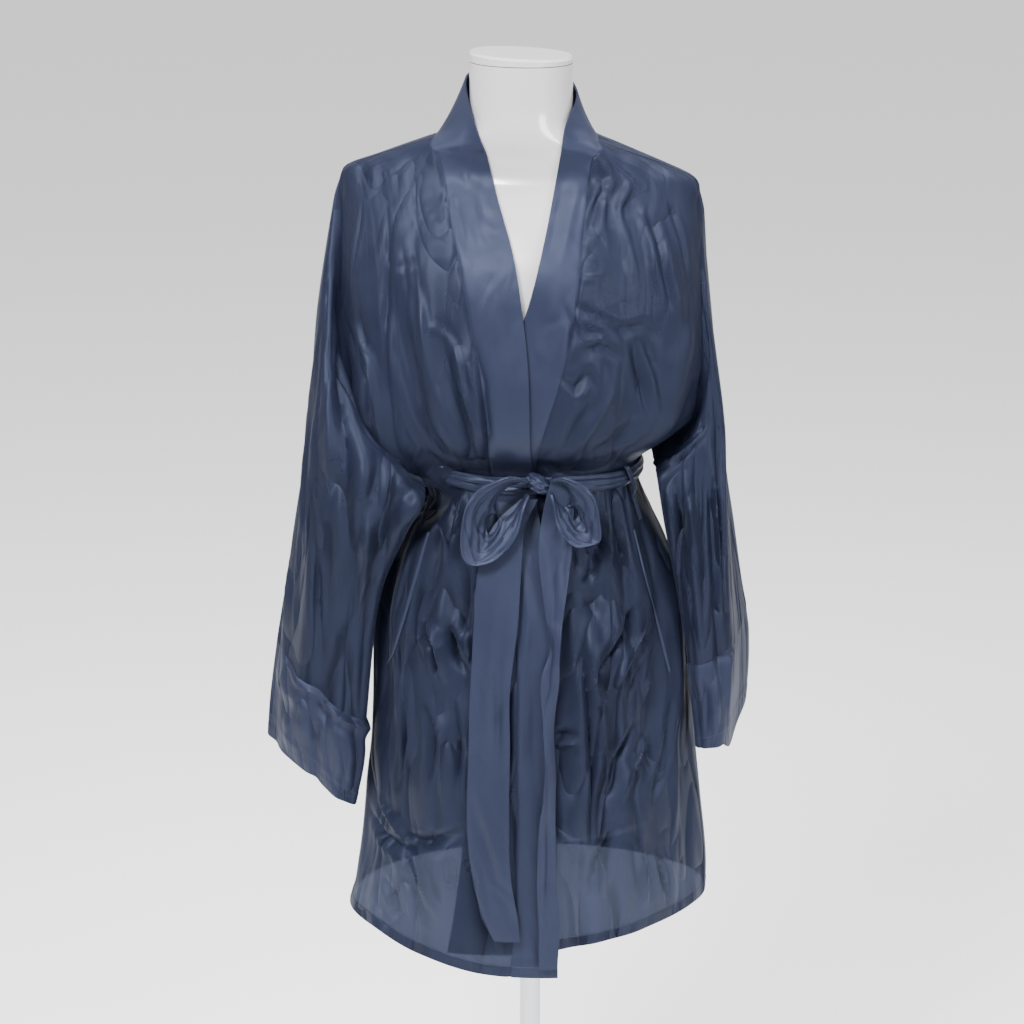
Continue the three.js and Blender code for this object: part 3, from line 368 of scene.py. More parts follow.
RIGHT_SLEEVE = table(
    "ox oy oz fx fy fz ix iy iz bx by bz",
    (-226, 4, 1240, -210, -80, 1130, -112, -88, 1050, -218, 60, 1130),
    (-238, 4, 1110, -222, -84, 1040, -134, -86, 1002, -212, 54, 1050),
    (-257, 2, 985, -226, -76, 950, -163, -72, 925, -214, 44, 955),
    (-278, 0, 862, -237, -70, 828, -179, -62, 788, -226, 40, 838),
)
RIGHT_CUFF = table(
    "ox oy oz fx fy fz ix iy iz bx by bz",
    (-281, 0, 852, -240, -72, 818, -181, -62, 778, -228, 42, 828),
    (-288, 0, 796, -241, -76, 776, -183, -66, 734, -232, 42, 782),
    (-291, -4, 750, -240, -68, 724, -192, -62, 690, -232, 40, 736),
)
LEFT_SLEEVE = table(
    "ox oy oz fx fy fz ix iy iz bx by bz",
    (188, 0, 1240, 194, -60, 1130, 133, -50, 1062, 194, 54, 1150),
    (203, -4, 1110, 196, -72, 1040, 142, -58, 1008, 204, 58, 1050),
    (215, -8, 985, 200, -78, 950, 158, -62, 925, 219, 62, 960),
    (227, -18, 872, 206, -80, 868, 169, -64, 858, 237, 60, 884),
)
LEFT_CUFF = table(
    "ox oy oz fx fy fz ix iy iz bx by bz",
    (227, -20, 862, 207, -82, 858, 170, -64, 848, 238, 62, 874),
    (225, -30, 806, 208, -84, 812, 175, -66, 804, 242, 62, 836),
    (220, -40, 756, 206, -82, 766, 180, -66, 762, 242, 60, 804),
)
SLEEVE_FOLDS = table(
    "at wide deep from to",
    (0.13, 0.035, -5, 0.1, 0.9),
    (0.2, 0.04, 5, 0.15, 1),
    (0.28, 0.035, -6, 0.25, 1),
    (0.37, 0.04, 5, 0.35, 1),
    (0.62, 0.04, 5, 0.3, 1),
    (0.71, 0.04, -6, 0.15, 1),
    (0.8, 0.04, 5, 0.1, 0.95),
    (0.89, 0.035, -5, 0.1, 0.9),
)
RIGHT_CUFF_FOLDS = table(
    "at wide deep from to",
    (0.07, 0.04, -5, 0.25, 1),
    (0.16, 0.04, 5, 0.05, 0.95),
    (0.27, 0.035, -4, 0.3, 1),
    (0.37, 0.04, 4, 0.1, 1),
    (0.75, 0.05, -5, 0, 1),
)
LEFT_CUFF_FOLDS = table(
    "at wide deep from to",
    (0.3, 0.05, 4, 0.1, 1),
    (0.42, 0.04, -4, 0.2, 1),
    (0.88, 0.05, 4, 0, 1),
)
# Creases: width and depth in mm, then points. On the body a point is a bearing and a height.
BODY_CREASES = [
    (7, -4, (-21, 1211), (-19.5, 1179), (-16.5, 1135), (-17.5, 1083)),
    (5, 2.9, (-17, 1215), (-15.5, 1175), (-14, 1131), (-16, 1085)),
    (5, -3.6, (-10.5, 1213), (-9, 1177), (-10, 1123), (-15.5, 1085)),
    (5, 2.7, (-14, 1209), (-11.5, 1169), (-12, 1119), (-15.5, 1085)),
    (6, 2.7, (-28.5, 1157), (-25.5, 1119), (-24.5, 1091)),
    (5, -2.7, (-34.5, 1157), (-32.5, 1113), (-32.5, 1081)),
    (6, 2.3, (-41, 1141), (-39.5, 1101), (-56.5, 1069)),
    (7, -3.1, (-45.5, 1181), (-45.5, 1141), (-49.5, 1093), (-45.5, 1081)),
    (5, -1.5, (-39, 1283), (-33.5, 1287), (-29, 1295)),
    (4, 1, (-38.5, 1277), (-33, 1283), (-28.5, 1289)),
    (4, -1.8, (-42, 1339), (-40.5, 1283), (-43, 1221), (-46, 1151)),
    (5, -2.3, (-54, 1247), (-53.5, 1219), (-51.5, 1197)),
    (6, -3.1, (-67, 1219), (-54, 1175), (-55, 1135), (-70, 1095)),
    (5, 2.3, (-58, 1227), (-50.5, 1189), (-48.5, 1149), (-51, 1107)),
    (4, -2, (-67.5, 1383), (-52, 1365)),
    (4, -1.8, (-40.5, 1377), (-37.5, 1359)),
    (4, -2, (-26, 1223), (-23.5, 1221), (-21.5, 1221)),
    (4, 1.6, (-25.5, 1227), (-22, 1229), (-18.5, 1219), (-18, 1205)),
    (3, -1.6, (-19, 1347), (-16, 1331), (-13.5, 1315)),
    (5, -1.4, (-35, 1311), (-33, 1265), (-36.5, 1213)),
    (4, 1.6, (-28.5, 1275), (-26.5, 1225), (-25, 1179)),
    (4, -1.4, (-56, 1345), (-58.5, 1295), (-59, 1245)),
    (5, -3.1, (56.5, 1405), (28, 1375), (26, 1357), (24, 1335), (21.5, 1319)),
    (5, 2.7, (45, 1401), (24.5, 1365), (22, 1343)),
    (5, -3.1, (40.5, 1391), (30.5, 1357), (31.5, 1327), (36, 1289), (38, 1273)),
    (5, 2.7, (39.5, 1385), (34, 1351), (37, 1323), (39.5, 1291)),
    (5, -1.6, (18, 1295), (22.5, 1291), (27.5, 1293)),
    (4, 1.3, (18.5, 1289), (23, 1285), (29.5, 1287)),
    (5, -2.7, (19.5, 1213), (26, 1217), (32.5, 1205)),
    (4, 2.3, (18.5, 1219), (25, 1225), (33.5, 1211)),
    (5, -2.9, (11.5, 1187), (16, 1173), (20, 1189), (23.5, 1171)),
    (4, 2.2, (12, 1179), (16, 1163), (21.5, 1179)),
    (5, -3.1, (35.5, 1219), (40, 1179), (42.5, 1139)),
    (5, 2.7, (39, 1223), (43, 1185), (46.5, 1145)),
    (5, -2.7, (18.5, 1255), (24.5, 1245), (32, 1233), (41, 1237), (48, 1223)),
    (5, 2.5, (20, 1247), (26, 1237), (32.5, 1223)),
    (5, -2.7, (46, 1347), (49.5, 1319), (51, 1283), (53.5, 1251)),
    (5, 2.3, (42, 1351), (45.5, 1319), (47, 1283)),
    (5, -2.3, (56.5, 1357), (63, 1317), (64, 1277)),
    (6, -2.7, (23.5, 1163), (16.5, 1137), (11.5, 1103)),
    (6, 2.5, (28.5, 1167), (22, 1137), (15.5, 1099)),
    (6, -2.5, (39, 1137), (31, 1117), (22.5, 1099)),
    (5, 2.2, (45.5, 1131), (39, 1111), (31, 1095)),
    (4, -2, (13.5, 1265), (16.5, 1235), (14.5, 1205)),
    (4, 1.6, (-24.5, 1407), (-10, 1361), (-5, 1321)),
    (4, -1.6, (-19, 1361), (-15, 1339), (-12, 1307)),
    (5, -1.4, (-2, 1261), (-1.5, 1223), (-2.5, 1163)),
    (4, 1.6, (19, 1375), (16.5, 1329), (14.5, 1301)),
    (4, -1.6, (7.5, 1235), (11.5, 1241), (14.5, 1251)),
    (5, 1.4, (5.5, 1215), (8, 1199), (6, 1163)),
    (4, -1.6, (14, 1375), (13, 1347), (10.5, 1309)),
    (4, -5.9, (-47.5, 1043), (-42, 1015), (-33, 981)),
    (4, 5.1, (-41.5, 1045), (-32.5, 1009), (-30.5, 973)),
    (4, -5.1, (-27, 983), (-23.5, 941), (-23, 901)),
    (4, -5.9, (20, 1053), (19, 1011), (17, 969)),
    (4, 5.1, (24.5, 1051), (26, 1011), (21.5, 971)),
    (4, -5.9, (32.5, 1047), (29, 1011), (29.5, 983)),
    (4, 4.7, (38.5, 1045), (36, 1009), (30.5, 973)),
    (4, -5.5, (47, 1043), (44, 1007), (41, 961)),
    (5, -6.6, (45, 931), (31.5, 895), (21, 849)),
    (5, 5.9, (48.5, 921), (37, 883), (25, 843)),
    (5, -6.2, (53.5, 895), (43.5, 887), (38.5, 879)),
    (5, -6.2, (43.5, 867), (38.5, 849), (35, 833)),
    (4, 5.1, (51, 855), (43, 837), (39, 821)),
    (4, -5.1, (28, 975), (22, 963), (17.5, 957)),
    (5, -6.2, (-45, 909), (-36, 889), (-33.5, 855)),
    (5, 5.5, (-41, 915), (-31.5, 895), (-29.5, 857)),
    (5, -5.9, (-30.5, 917), (-26, 883), (-22, 865)),
    (4, 5.1, (-23.5, 913), (-21.5, 891), (-19, 869)),
    (6, -6.6, (-74.5, 673), (-51.5, 651), (-33.5, 581)),
    (5, 5.1, (-66, 697), (-45.5, 661), (-30.5, 593)),
    (5, -5.1, (-58, 613), (-51.5, 599), (-46, 585)),
    (6, -5.5, (-51, 665), (-34, 673), (-21.5, 695)),
    (5, -5.1, (6, 795), (10, 799), (15, 801)),
    (4, 4.3, (6, 787), (11, 789), (16.5, 791)),
    (5, -6.2, (16.5, 901), (19.5, 837), (20.5, 751), (17, 619)),
    (5, 5.1, (20, 891), (23, 825), (23.5, 739)),
    (5, -5.9, (39, 807), (29.5, 769), (23.5, 727)),
    (5, 5.1, (46, 791), (35, 759), (27.5, 715)),
    (5, -5.1, (58.5, 817), (52.5, 765), (43.5, 715)),
    (5, -5.5, (-40.5, 829), (-35.5, 787), (-37, 731)),
    (5, 4.7, (-34.5, 831), (-30, 783), (-30.5, 723)),
    (5, -5.1, (-27, 835), (-24.5, 781), (-25.5, 725)),
    (5, -4.7, (-50, 835), (-49, 781), (-55, 717)),
    (5, -5.9, (25.5, 695), (21, 663), (18, 619)),
    (4, 4.7, (8, 699), (13, 677), (14, 631)),
    (5, -5.5, (44, 657), (47, 621), (49, 591)),
    (5, 4.7, (34.5, 679), (36.5, 643), (37, 601)),
    (4, -5.1, (-15.5, 945), (-9, 893), (-10.5, 841)),
    (5, -4.7, (0, 905), (0.5, 819), (0, 733)),
    (4, 4.3, (-3, 983), (-1, 925), (-2, 863)),
    # the back, as uneven as the front
    (6, -3.1, (108, 1300), (114, 1230), (118, 1150)),
    (5, 2.7, (116, 1290), (122, 1220), (125, 1140)),
    (5, -2.9, (132, 1320), (135, 1250), (139, 1180), (141, 1110)),
    (5, -2.7, (150, 1240), (151, 1180), (153, 1100)),
    (4, 2.3, (157, 1300), (158, 1220), (160, 1150)),
    (5, -2.9, (170, 1280), (171, 1200), (170, 1110)),
    (6, 2.7, (180, 1350), (186, 1280), (184, 1200)),
    (5, -2.9, (196, 1260), (193, 1180), (190, 1100)),
    (5, 2.5, (208, 1310), (205, 1230), (203, 1150)),
    (5, -3.1, (222, 1300), (219, 1210), (214, 1120)),
    (5, 2.7, (236, 1280), (231, 1200), (226, 1130)),
    (6, -2.9, (250, 1310), (246, 1240), (240, 1160)),
    (4, -2.2, (140, 1345), (150, 1335), (160, 1340)),
    (4, 2, (200, 1330), (212, 1322), (224, 1330)),
    (4, -5.9, (104, 1050), (106, 990), (105, 930)),
    (4, 5.5, (118, 1050), (117, 1000), (120, 920)),
    (4, -5.9, (136, 1052), (136, 990), (138, 950)),
    (4, -5.9, (152, 1052), (152, 1000), (150, 900)),
    (4, 5.5, (168, 1052), (169, 980), (168, 930)),
    (4, -5.9, (184, 1052), (185, 990), (184, 900)),
    (4, 5.1, (202, 1052), (201, 980), (203, 930)),
    (4, -5.9, (218, 1052), (218, 990), (220, 920)),
    (4, 5.5, (234, 1052), (236, 980), (237, 910)),
    (4, -5.9, (252, 1050), (253, 990), (256, 930)),
    (5, -6.2, (118, 840), (124, 770), (122, 690)),
    (5, 5.9, (140, 820), (147, 740), (145, 650)),
    (5, -5.9, (168, 860), (165, 780), (170, 700)),
    (5, 5.9, (190, 800), (183, 720), (186, 620)),
    (5, -6.2, (214, 830), (208, 750), (210, 660)),
    (5, 5.5, (238, 800), (232, 720), (236, 620)),
    (4, -5.1, (150, 700), (158, 692), (166, 698)),
    (4, -4.7, (204, 760), (212, 752), (222, 757)),
    (5, -5.9, (130, 640), (133, 600), (131, 565)),
    (5, 5.1, (200, 640), (197, 600), (199, 560)),
]
# On a sleeve or a cuff a point is mm round and a share along, and on a tail a share across and a height.
SLEEVE_SIZE = (330, 400)  # round and along
CUFF_SIZE = (250, 100)
RIGHT_SLEEVE_CREASES = [
    (6, -6, (250, 0.036), (91, 0.108), (97, 0.261), (109, 0.495), (118, 0.622)),
    (6, 3.5, (56, 0.108), (74, 0.18), (85, 0.324), (97, 0.595)),
    (6, -4.5, (47, 0.153), (59, 0.252), (71, 0.405), (74, 0.64), (80, 0.802)),
    (6, 3.5, (35, 0.234), (24, 0.468), (29, 0.649), (59, 0.829)),
    (5, -4.5, (77, 0.694), (80, 0.793), (88, 0.892)),
    (5, -4, (109, 0.64), (112, 0.766), (115, 0.847)),
    (6, -4.5, (115, 0.405), (121, 0.613), (124, 0.793), (127, 0.91)),
    (6, 3.5, (118, 0.396), (130, 0.604), (136, 0.811), (138, 0.946)),
    (5, -3.5, (130, 0.441), (138, 0.676), (141, 0.829), (147, 1)),
    (6, -4, (121, 0.189), (118, 0.351), (121, 0.532)),
    (5, 3, (130, 0.225), (130, 0.396), (133, 0.541)),
    (5, -3.5, (150, 0.153), (136, 0.333), (136, 0.495)),
    (5, 2.5, (12, 0.811), (21, 0.883), (27, 0.955)),
    (5, -3, (18, 0.622), (21, 0.757), (32, 0.865), (44, 0.946)),
    (6, -4, (215, 0.2), (222, 0.5), (218, 0.8)),
    (6, 3.4, (238, 0.15), (245, 0.45), (240, 0.9)),
    (6, -4.2, (262, 0.2), (268, 0.55), (264, 0.95)),
    (5, 3.2, (284, 0.15), (288, 0.5), (284, 0.8)),
    (6, -3.6, (308, 0.25), (306, 0.6), (302, 0.95)),
]
RIGHT_CUFF_CREASES = [
    (6, 4.5, (219, 0.256), (33, 0.064), (27, 0.32), (51, 0.288), (76, 0.384)),
    (6, -4.5, (45, 0.224), (40, 0.416), (27, 0.608)),
    (5, -3.6, (74, 0.448), (60, 0.64), (54, 0.835)),
    (5, -3.6, (98, 0.608), (96, 0.736), (94, 0.895)),
    (4, 3, (87, 0.096), (89, 0.384), (94, 0.672)),
    (5, -3, (60, 0.192), (76, 0.256), (89, 0.192)),
    (5, 3, (98, 0.192), (103, 0.48), (103, 0.8)),
]
LEFT_SLEEVE_CREASES = [
    (6, -5, (133, 0.324), (130, 0.486), (124, 0.622)),
    (6, 3.6, (124, 0.297), (118, 0.495), (115, 0.667)),
    (5, -4.5, (112, 0.234), (109, 0.45), (109, 0.676), (118, 0.892)),
    (5, 3.5, (100, 0.207), (85, 0.495), (82, 0.748), (85, 0.928)),
    (5, -4, (88, 0.135), (80, 0.387), (74, 0.64), (74, 0.874)),
    (5, -4, (133, 0.55), (130, 0.712), (127, 0.883)),
    (5, -4, (80, 0.027), (85, 0.045), (85, 0.0901)),
    (5, 3, (212, 0.135), (106, 0.243), (94, 0.387)),
    (5, -3.4, (138, 0.27), (121, 0.243), (100, 0.27)),
    (5, -3.6, (41, 0.0541), (68, 0.018), (80, 0.045)),
    (6, -4, (212, 0.25), (220, 0.5), (216, 0.85)),
    (6, 3.4, (236, 0.2), (240, 0.5), (246, 0.9)),
    (6, -4.2, (258, 0.15), (266, 0.5), (262, 0.9)),
    (5, 3.2, (282, 0.2), (285, 0.55), (290, 0.85)),
    (6, -3.6, (304, 0.3), (308, 0.6), (300, 0.95)),
]
LEFT_CUFF_CREASES = [
    (5, -3, (92, 0.064), (89, 0.416), (92, 0.768)),
    (5, 2.6, (80, 0.096), (78, 0.448), (78, 0.768)),
    (5, -2.6, (176, 0), (7, 0.064), (16, 0.256)),
]
RIGHT_TAIL_CREASES = [
    (4, 2.6, (0.5, 970), (0.44, 906), (0.56, 820), (0.5, 744)),
    (4, -2.4, (0.81, 947), (0.69, 897), (0.75, 811), (0.75, 734)),
    (4, -2.4, (0.19, 906), (0.25, 839), (0.31, 776)),
    (4, -3, (0.12, 731), (0.31, 690), (0.56, 645), (0.88, 629)),
    (4, 2.8, (0.31, 737), (0.56, 696), (0.81, 651)),
    (4, -2.8, (0.5, 635), (0.69, 620), (0.81, 591)),
    (3, 2.4, (0.062, 677), (0.19, 642), (0.062, 600)),
    (4, 2.2, (0.81, 734), (1, 680), (1, 635)),
]
LEFT_TAIL_CREASES = [
    (4, -2.8, (0.44, 1008), (0.5, 968), (0.44, 917)),
    (4, 2.6, (0.88, 1025), (0.69, 978), (0.81, 940)),
    (3, -2.6, (0.062, 906), (0.56, 855), (0.062, 814)),
    (3, 2.4, (0, 780), (0, 736), (0.19, 682)),
    (3, -2.4, (0.5, 716), (0.5, 658), (0.31, 590)),
]


# ---------------------------------------------------------------- curves
def smooth_step(low, high, value):
    share = np.clip((value - low) / (high - low), 0, 1)
    return share * share * (3 - 2 * share)


def cubic(start, end, slope_start, slope_end, share):
    square, cube = share**2, share**3
    return (
        (2 * cube - 3 * square + 1) * start
        + (cube - 2 * square + share) * slope_start
        + (3 * square - 2 * cube) * end
        + (cube - square) * slope_end
    )


def column(rows, key, at, by="z"):
    """One column of a table where its first column has a value, smooth through the rows."""
    xs, ys = rows[by], rows[key]
    if xs[0] > xs[-1]:
        xs, ys = xs[::-1], ys[::-1]
    i = np.clip(np.searchsorted(xs, at, side="right") - 1, 0, len(xs) - 2)
    span = xs[i + 1] - xs[i]
    before, after = np.maximum(i - 1, 0), np.minimum(i + 2, len(xs) - 1)
    slope_low = (ys[i + 1] - ys[before]) / (xs[i + 1] - xs[before]) * span
    slope_high = (ys[after] - ys[i]) / (xs[after] - xs[i]) * span
    share = np.clip((at - xs[i]) / span, 0, 1)
    return cubic(ys[i], ys[i + 1], slope_low, slope_high, share)


def along_rows(values, share):
    """A value at a share of a list's length, smooth through every entry."""
    values = np.asarray(values, float)
    spans = len(values) - 1
    place = np.minimum(np.asarray(share) * spans, spans - 1e-6)
    i = np.floor(place).astype(int)
    a, b = values[np.maximum(i - 1, 0)], values[i]
    c, d = values[np.minimum(i + 1, spans)], values[np.minimum(i + 2, spans)]
    part = (place - i).reshape(place.shape + (1,) * (values.ndim - 1))
    return cubic(b, c, (c - a) / 2, (d - b) / 2, part)


def bisect(low, high, steps, above):
    """Where a rising condition turns true, for many places at once."""
    for _ in range(steps):
        middle = (low + high) / 2
        over = above(middle)
        low, high = np.where(over, low, middle), np.where(over, middle, high)
    return (low + high) / 2


def signed_power(value, power):
    return np.sign(value) * np.abs(value) ** power


# ---------------------------------------------------------------- body surface
def turned(x, y, z, shift):
    share = smooth_step(*TURN_BETWEEN, z)
    angle = np.radians(SHOULDER_TURN) * share
    cos, sin = np.cos(angle), np.sin(angle)
    return np.stack(
        [x * cos + y * sin + shift, y * cos - x * sin, z - SHOULDER_DROP * share * x], -1
    )


def section_point(half, front, back, shift, bearing, z):
    power = 2 / SQUARENESS
    across = signed_power(np.sin(np.radians(bearing)), power)
    along = signed_power(np.cos(np.radians(bearing)), power)
    return turned(half * across, -np.where(along > 0, front, back) * along, z, shift)


def form_point(bearing, z):
    bearing, z = np.broadcast_arrays(np.asarray(bearing, float), np.asarray(z, float))
    sizes = [column(FORM_SECTIONS, key, z) for key in ("half", "front", "back", "shift")]
    return section_point(*sizes, bearing, z)


def fold_lift(bearing, z):
    lift = np.zeros(np.broadcast(bearing, z).shape)
    for top, low, start, end, wide, deep in zip(*BODY_FOLDS.values()):
        along = (top - z) / (top - low)
        centre = start + (end - start) * along
        around = np.abs((bearing % 360 - centre + 540) % 360 - 180)
        ends = smooth_step(0, FOLD_ENDS, along) * smooth_step(0, FOLD_ENDS, 1 - along)
        lift += deep * np.exp(-((around / wide) ** 2) * FOLD_SHARPNESS) * ends
    return lift


def crease_lift(creases, u, v, u_size, v_size):
    """Height of creases on a surface: each has a width, a depth and a line of (u, v) points.

    Its crest is sharp and dies out at both ends, and a low swell lies on either side of it.
    The sizes turn u and v into millimetres.
    """
    lift = np.zeros(np.broadcast(u, v).shape)
    u, v = np.broadcast_arrays(u, v)
    for wide, deep, *points in creases:
        line = np.array(points, float) * (1, v_size)
        reach = 4 * wide
        near = (v * v_size > line[:, 1].min() - reach) & (v * v_size < line[:, 1].max() + reach)
        pu, pv, size = u[near], v[near] * v_size, np.broadcast_to(u_size, u.shape)[near]
        if not near.any():
            continue
        lengths = np.hypot(np.diff(line[:, 0]) * size.mean(), np.diff(line[:, 1]))
        total, done = float(np.sum(lengths)), 0.0
        best, place = np.full(pu.shape, 1e9), np.zeros(pu.shape)
        for (au, av), (bu, bv), length in zip(line[:-1], line[1:], lengths):
            du, dv = (bu - au) * size, bv - av
            share = ((pu - au) * size * du + (pv - av) * dv) / np.maximum(du**2 + dv**2, 1e-9)
            share = np.clip(share, 0, 1)
            far = np.hypot((pu - au) * size - share * du, pv - av - share * dv)
            closer = far < best
            best = np.where(closer, far, best)
            place = np.where(closer, (done + share * length) / total, place)
            done += length
        taper = np.clip(np.sin(np.pi * np.clip(place, 0, 1)), 0, 1) ** 0.7
        taper = np.maximum(taper, CREASE_TIP * np.exp(-best / wide))
        crest = np.exp(-((best / (CREST * wide)) ** CREST_SHARPNESS))
        swell = np.exp(-(((best - 2 * wide) / wide) ** 2))
        lift[near] += deep * min(1, total / CREASE_WHOLE) * taper * (crest - SWELL * swell)
    return lift


def body_creases(bearing, z):
    bearing = (np.asarray(bearing, float) + 90) % 360 - 90
    size = column(GOWN_SECTIONS, "left", np.asarray(z, float)) * RADIANS
    return crease_lift(BODY_CREASES, bearing, z, size, 1)


def blouse_drop(bearing, z):
    """The bodice hangs over the belt beneath the right sleeve."""
    low, full, fading, top = BLOUSE_HEIGHTS
    front, inner, outer, side = BLOUSE_BEARINGS
    bearing = (bearing + 180) % 360 - 180
    share = smooth_step(front, inner, bearing) * smooth_step(side, outer, bearing)
    return BLOUSE_DROP * share * smooth_step(low, full, z) * smooth_step(top, fading, z)


def gown_point(bearing, z, out=0.0, creased=0.0):
    """The gown's mid-line; creased is the share of the finer creases that it has there."""
    bearing, z = np.broadcast_arrays(np.asarray(bearing, float), np.asarray(z, float))
    lift = fold_lift(bearing, z) + out
    if np.any(creased):
        lift = lift + body_creases(bearing, z) * creased * CREASE_SCALE
    left, right = column(GOWN_SECTIONS, "left", z), column(GOWN_SECTIONS, "right", z)
    half = np.where(np.sin(np.radians(bearing)) < 0, left, right)
    front, back = column(GOWN_SECTIONS, "front", z), column(GOWN_SECTIONS, "back", z)
    shift = column(GOWN_SECTIONS, "shift", z)
    if np.any(creased):
        room = front - column(FORM_SECTIONS, "front", z) - CREASE_CLEAR
        lift = np.where(lift < 0, -room * np.tanh(-lift / room), lift)
    point = section_point(half + lift, front + lift, back + lift, shift, bearing, z)
    if np.any(creased):
        point[..., 2] -= blouse_drop(bearing, z) * creased
    return point


def bearing_at(x, z):
    """Bearing at which the gown's front has a given sideways place."""
    x, z = np.broadcast_arrays(np.asarray(x, float), np.asarray(z, float))
    low, high = np.full(x.shape, -FRONT_REACH), np.full(x.shape, FRONT_REACH)
    return bisect(low, high, steps=18, above=lambda middle: gown_point(middle, z)[..., 0] >= x)


def degrees_across(distance, z):
    return distance / column(GOWN_SECTIONS, "left", z) / RADIANS


# ---------------------------------------------------------------- panels
def hemmed(row_z, bearing, hem):
    share = np.clip((HEM_DIPS_BELOW - row_z) / (HEM_DIPS_BELOW - HEM_Z), 0, None)
    dipped = HEM_DIPS_BELOW + (column(hem, "z", bearing, "bearing") - HEM_DIPS_BELOW) * share
    return np.where(row_z >= HEM_DIPS_BELOW, row_z, dipped)


def outer_bearing(z, part):
    """Outer edge of a panel at a height: the shoulder seam, the armhole, then the side seam."""
    closer = (SHOULDER_SEAM_AT_NECK - SHOULDER_SEAM) * smooth_step(CORNER_Z, NECK_POINT_Z, z)
    shoulder = SHOULDER_SEAM + closer
    armhole = column(ARMHOLE, part, z)
    return np.where(z > CORNER_Z, shoulder, np.where(z < UNDERARM_Z, SIDE_SEAM, armhole))


def collar_rows(side, band, collar):
    z = band["z"][-1]
    first = {
        "seamBearing": bearing_at(band["seam"][-1], z) - side * degrees_across(SEAM_GAP, z),
        "seamZ": z,
        "edgeBearing": bearing_at(band["edge"][-1], z),
        "edgeZ": z,
    }
    return {key: np.append(first[key], collar[key]) for key in first}


def band_seam(side, band, collar, z):
    """Seam of a front to its band; above the straight part it follows the collar's first span."""
    straight = bearing_at(column(band, "seam", z), z)
    rows = collar_rows(side, band, collar)
    spans = len(rows["seamZ"]) - 1
    low, high = np.zeros(z.shape), np.full(z.shape, 1 / spans)
    place = bisect(low, high, steps=16, above=lambda t: along_rows(rows["seamZ"], t) >= z)
    curved = along_rows(rows["seamBearing"], place) + side * degrees_across(SEAM_GAP, z)
    return np.where(z <= band["z"][-1], straight, curved)


def lap_depth(bearing, z):
    """The under front and its band sink beneath the over front."""
    edge = bearing_at(column(OVER_BAND, "edge", z), z)
    far, near = LAP_EASES
    return LAP_LIFT * smooth_step(*LAP_BETWEEN, z) * smooth_step(edge + far, edge + near, bearing)


def lapped_point(side, bearing, z, creased, sunk=0.0):
    under = lap_depth(bearing, z) if side > 0 else 0.0
    hem = UNDER_HEM if side > 0 else OVER_HEM
    return gown_point(bearing, hemmed(z, bearing, hem), -under - sunk, creased)


def seam_dip(distance, deep=1.5, wide=2.2):
    """Cloth is drawn in at a seam."""
    return deep * np.exp(-((distance / wide) ** 2))


def fine_shares(count, width):
    """Shares across a panel of a given width in mm, closer together by both seams."""
    edge, first = SEAM_COLUMNS / width, SEAM_COLUMNS_END / width
    return np.concatenate([edge, np.linspace(first, 1 - first, count), (1 - edge)[::-1]])


def panel_heights(top, step):
    """Rows of a body panel, closer together through the hem."""
    rest = np.arange(HEM_Z + HEM_ROWS_END, top - step / 2, step)
    return np.concatenate([HEM_Z + HEM_ROWS, rest, [top]])


def front_grid(side, band, collar, count):
    z = panel_heights(collar["seamZ"][0] - 0.3, FRONT_STEP)
    gap = side * degrees_across(SEAM_GAP, z)
    inner = band_seam(side, band, collar, z) + gap
    outer = side * outer_bearing(z, "right" if side < 0 else "left") - gap
    share = fine_shares(count, FRONT_WIDTH)[:, None]
    bearing = inner + (outer - inner) * share
    width = np.abs(outer - inner) / degrees_across(1, z)
    dip = seam_dip(share * width) + seam_dip((1 - share) * width, SEWN_DIP)
    grid = lapped_point(side, bearing, np.broadcast_to(z, bearing.shape), 1.0, dip)
    return grid if side > 0 else grid[::-1]


def back_grid(count):
    """From the wearer's right to the left, with the upper rows drawn on to the collar's seam."""
    z = panel_heights(BACK_NECK_Z, BACK_STEP)
    share_in = fine_shares(count, BACK_WIDTH)
    place = np.concatenate([share_in - 1, 1 - share_in[::-1][1:]])[:, None]
    share = 1 - np.abs(place)
    neck = NECK_POINT_Z + (BACK_NECK_Z - NECK_POINT_Z) * share - SEAM_GAP - NECK_CLEAR
    over = np.clip((z - BACK_EASES_FROM) / (BACK_NECK_Z - BACK_EASES_FROM), 0, None)
    rough = np.where(over > 0, BACK_EASES_FROM + (neck - BACK_EASES_FROM) * over, z)
    edge = outer_bearing(rough, "back") + degrees_across(SEAM_GAP, rough)
    bearing = edge + (180 - edge) * share
    tops = []
    for collar in (OVER_COLLAR, UNDER_COLLAR):
        rows = {"bearing": np.abs(collar["seamBearing"]), "height": collar["seamZ"]}
        tops.append(column(rows, "height", bearing, "bearing") - SEAM_GAP - COLLAR_CLEAR)
    highest = np.where(place < 0, *tops)
    around = np.where(place > 0, bearing, 360 - bearing)
    lower = hemmed(np.broadcast_to(z, around.shape), around, UNDER_HEM)
    height = np.where(over > 0, BACK_EASES_FROM + (highest - BACK_EASES_FROM) * over, lower)
    dip = seam_dip(share * BACK_WIDTH, SEWN_DIP)
    return gown_point(around, height, -dip, 1.0)[::-1]


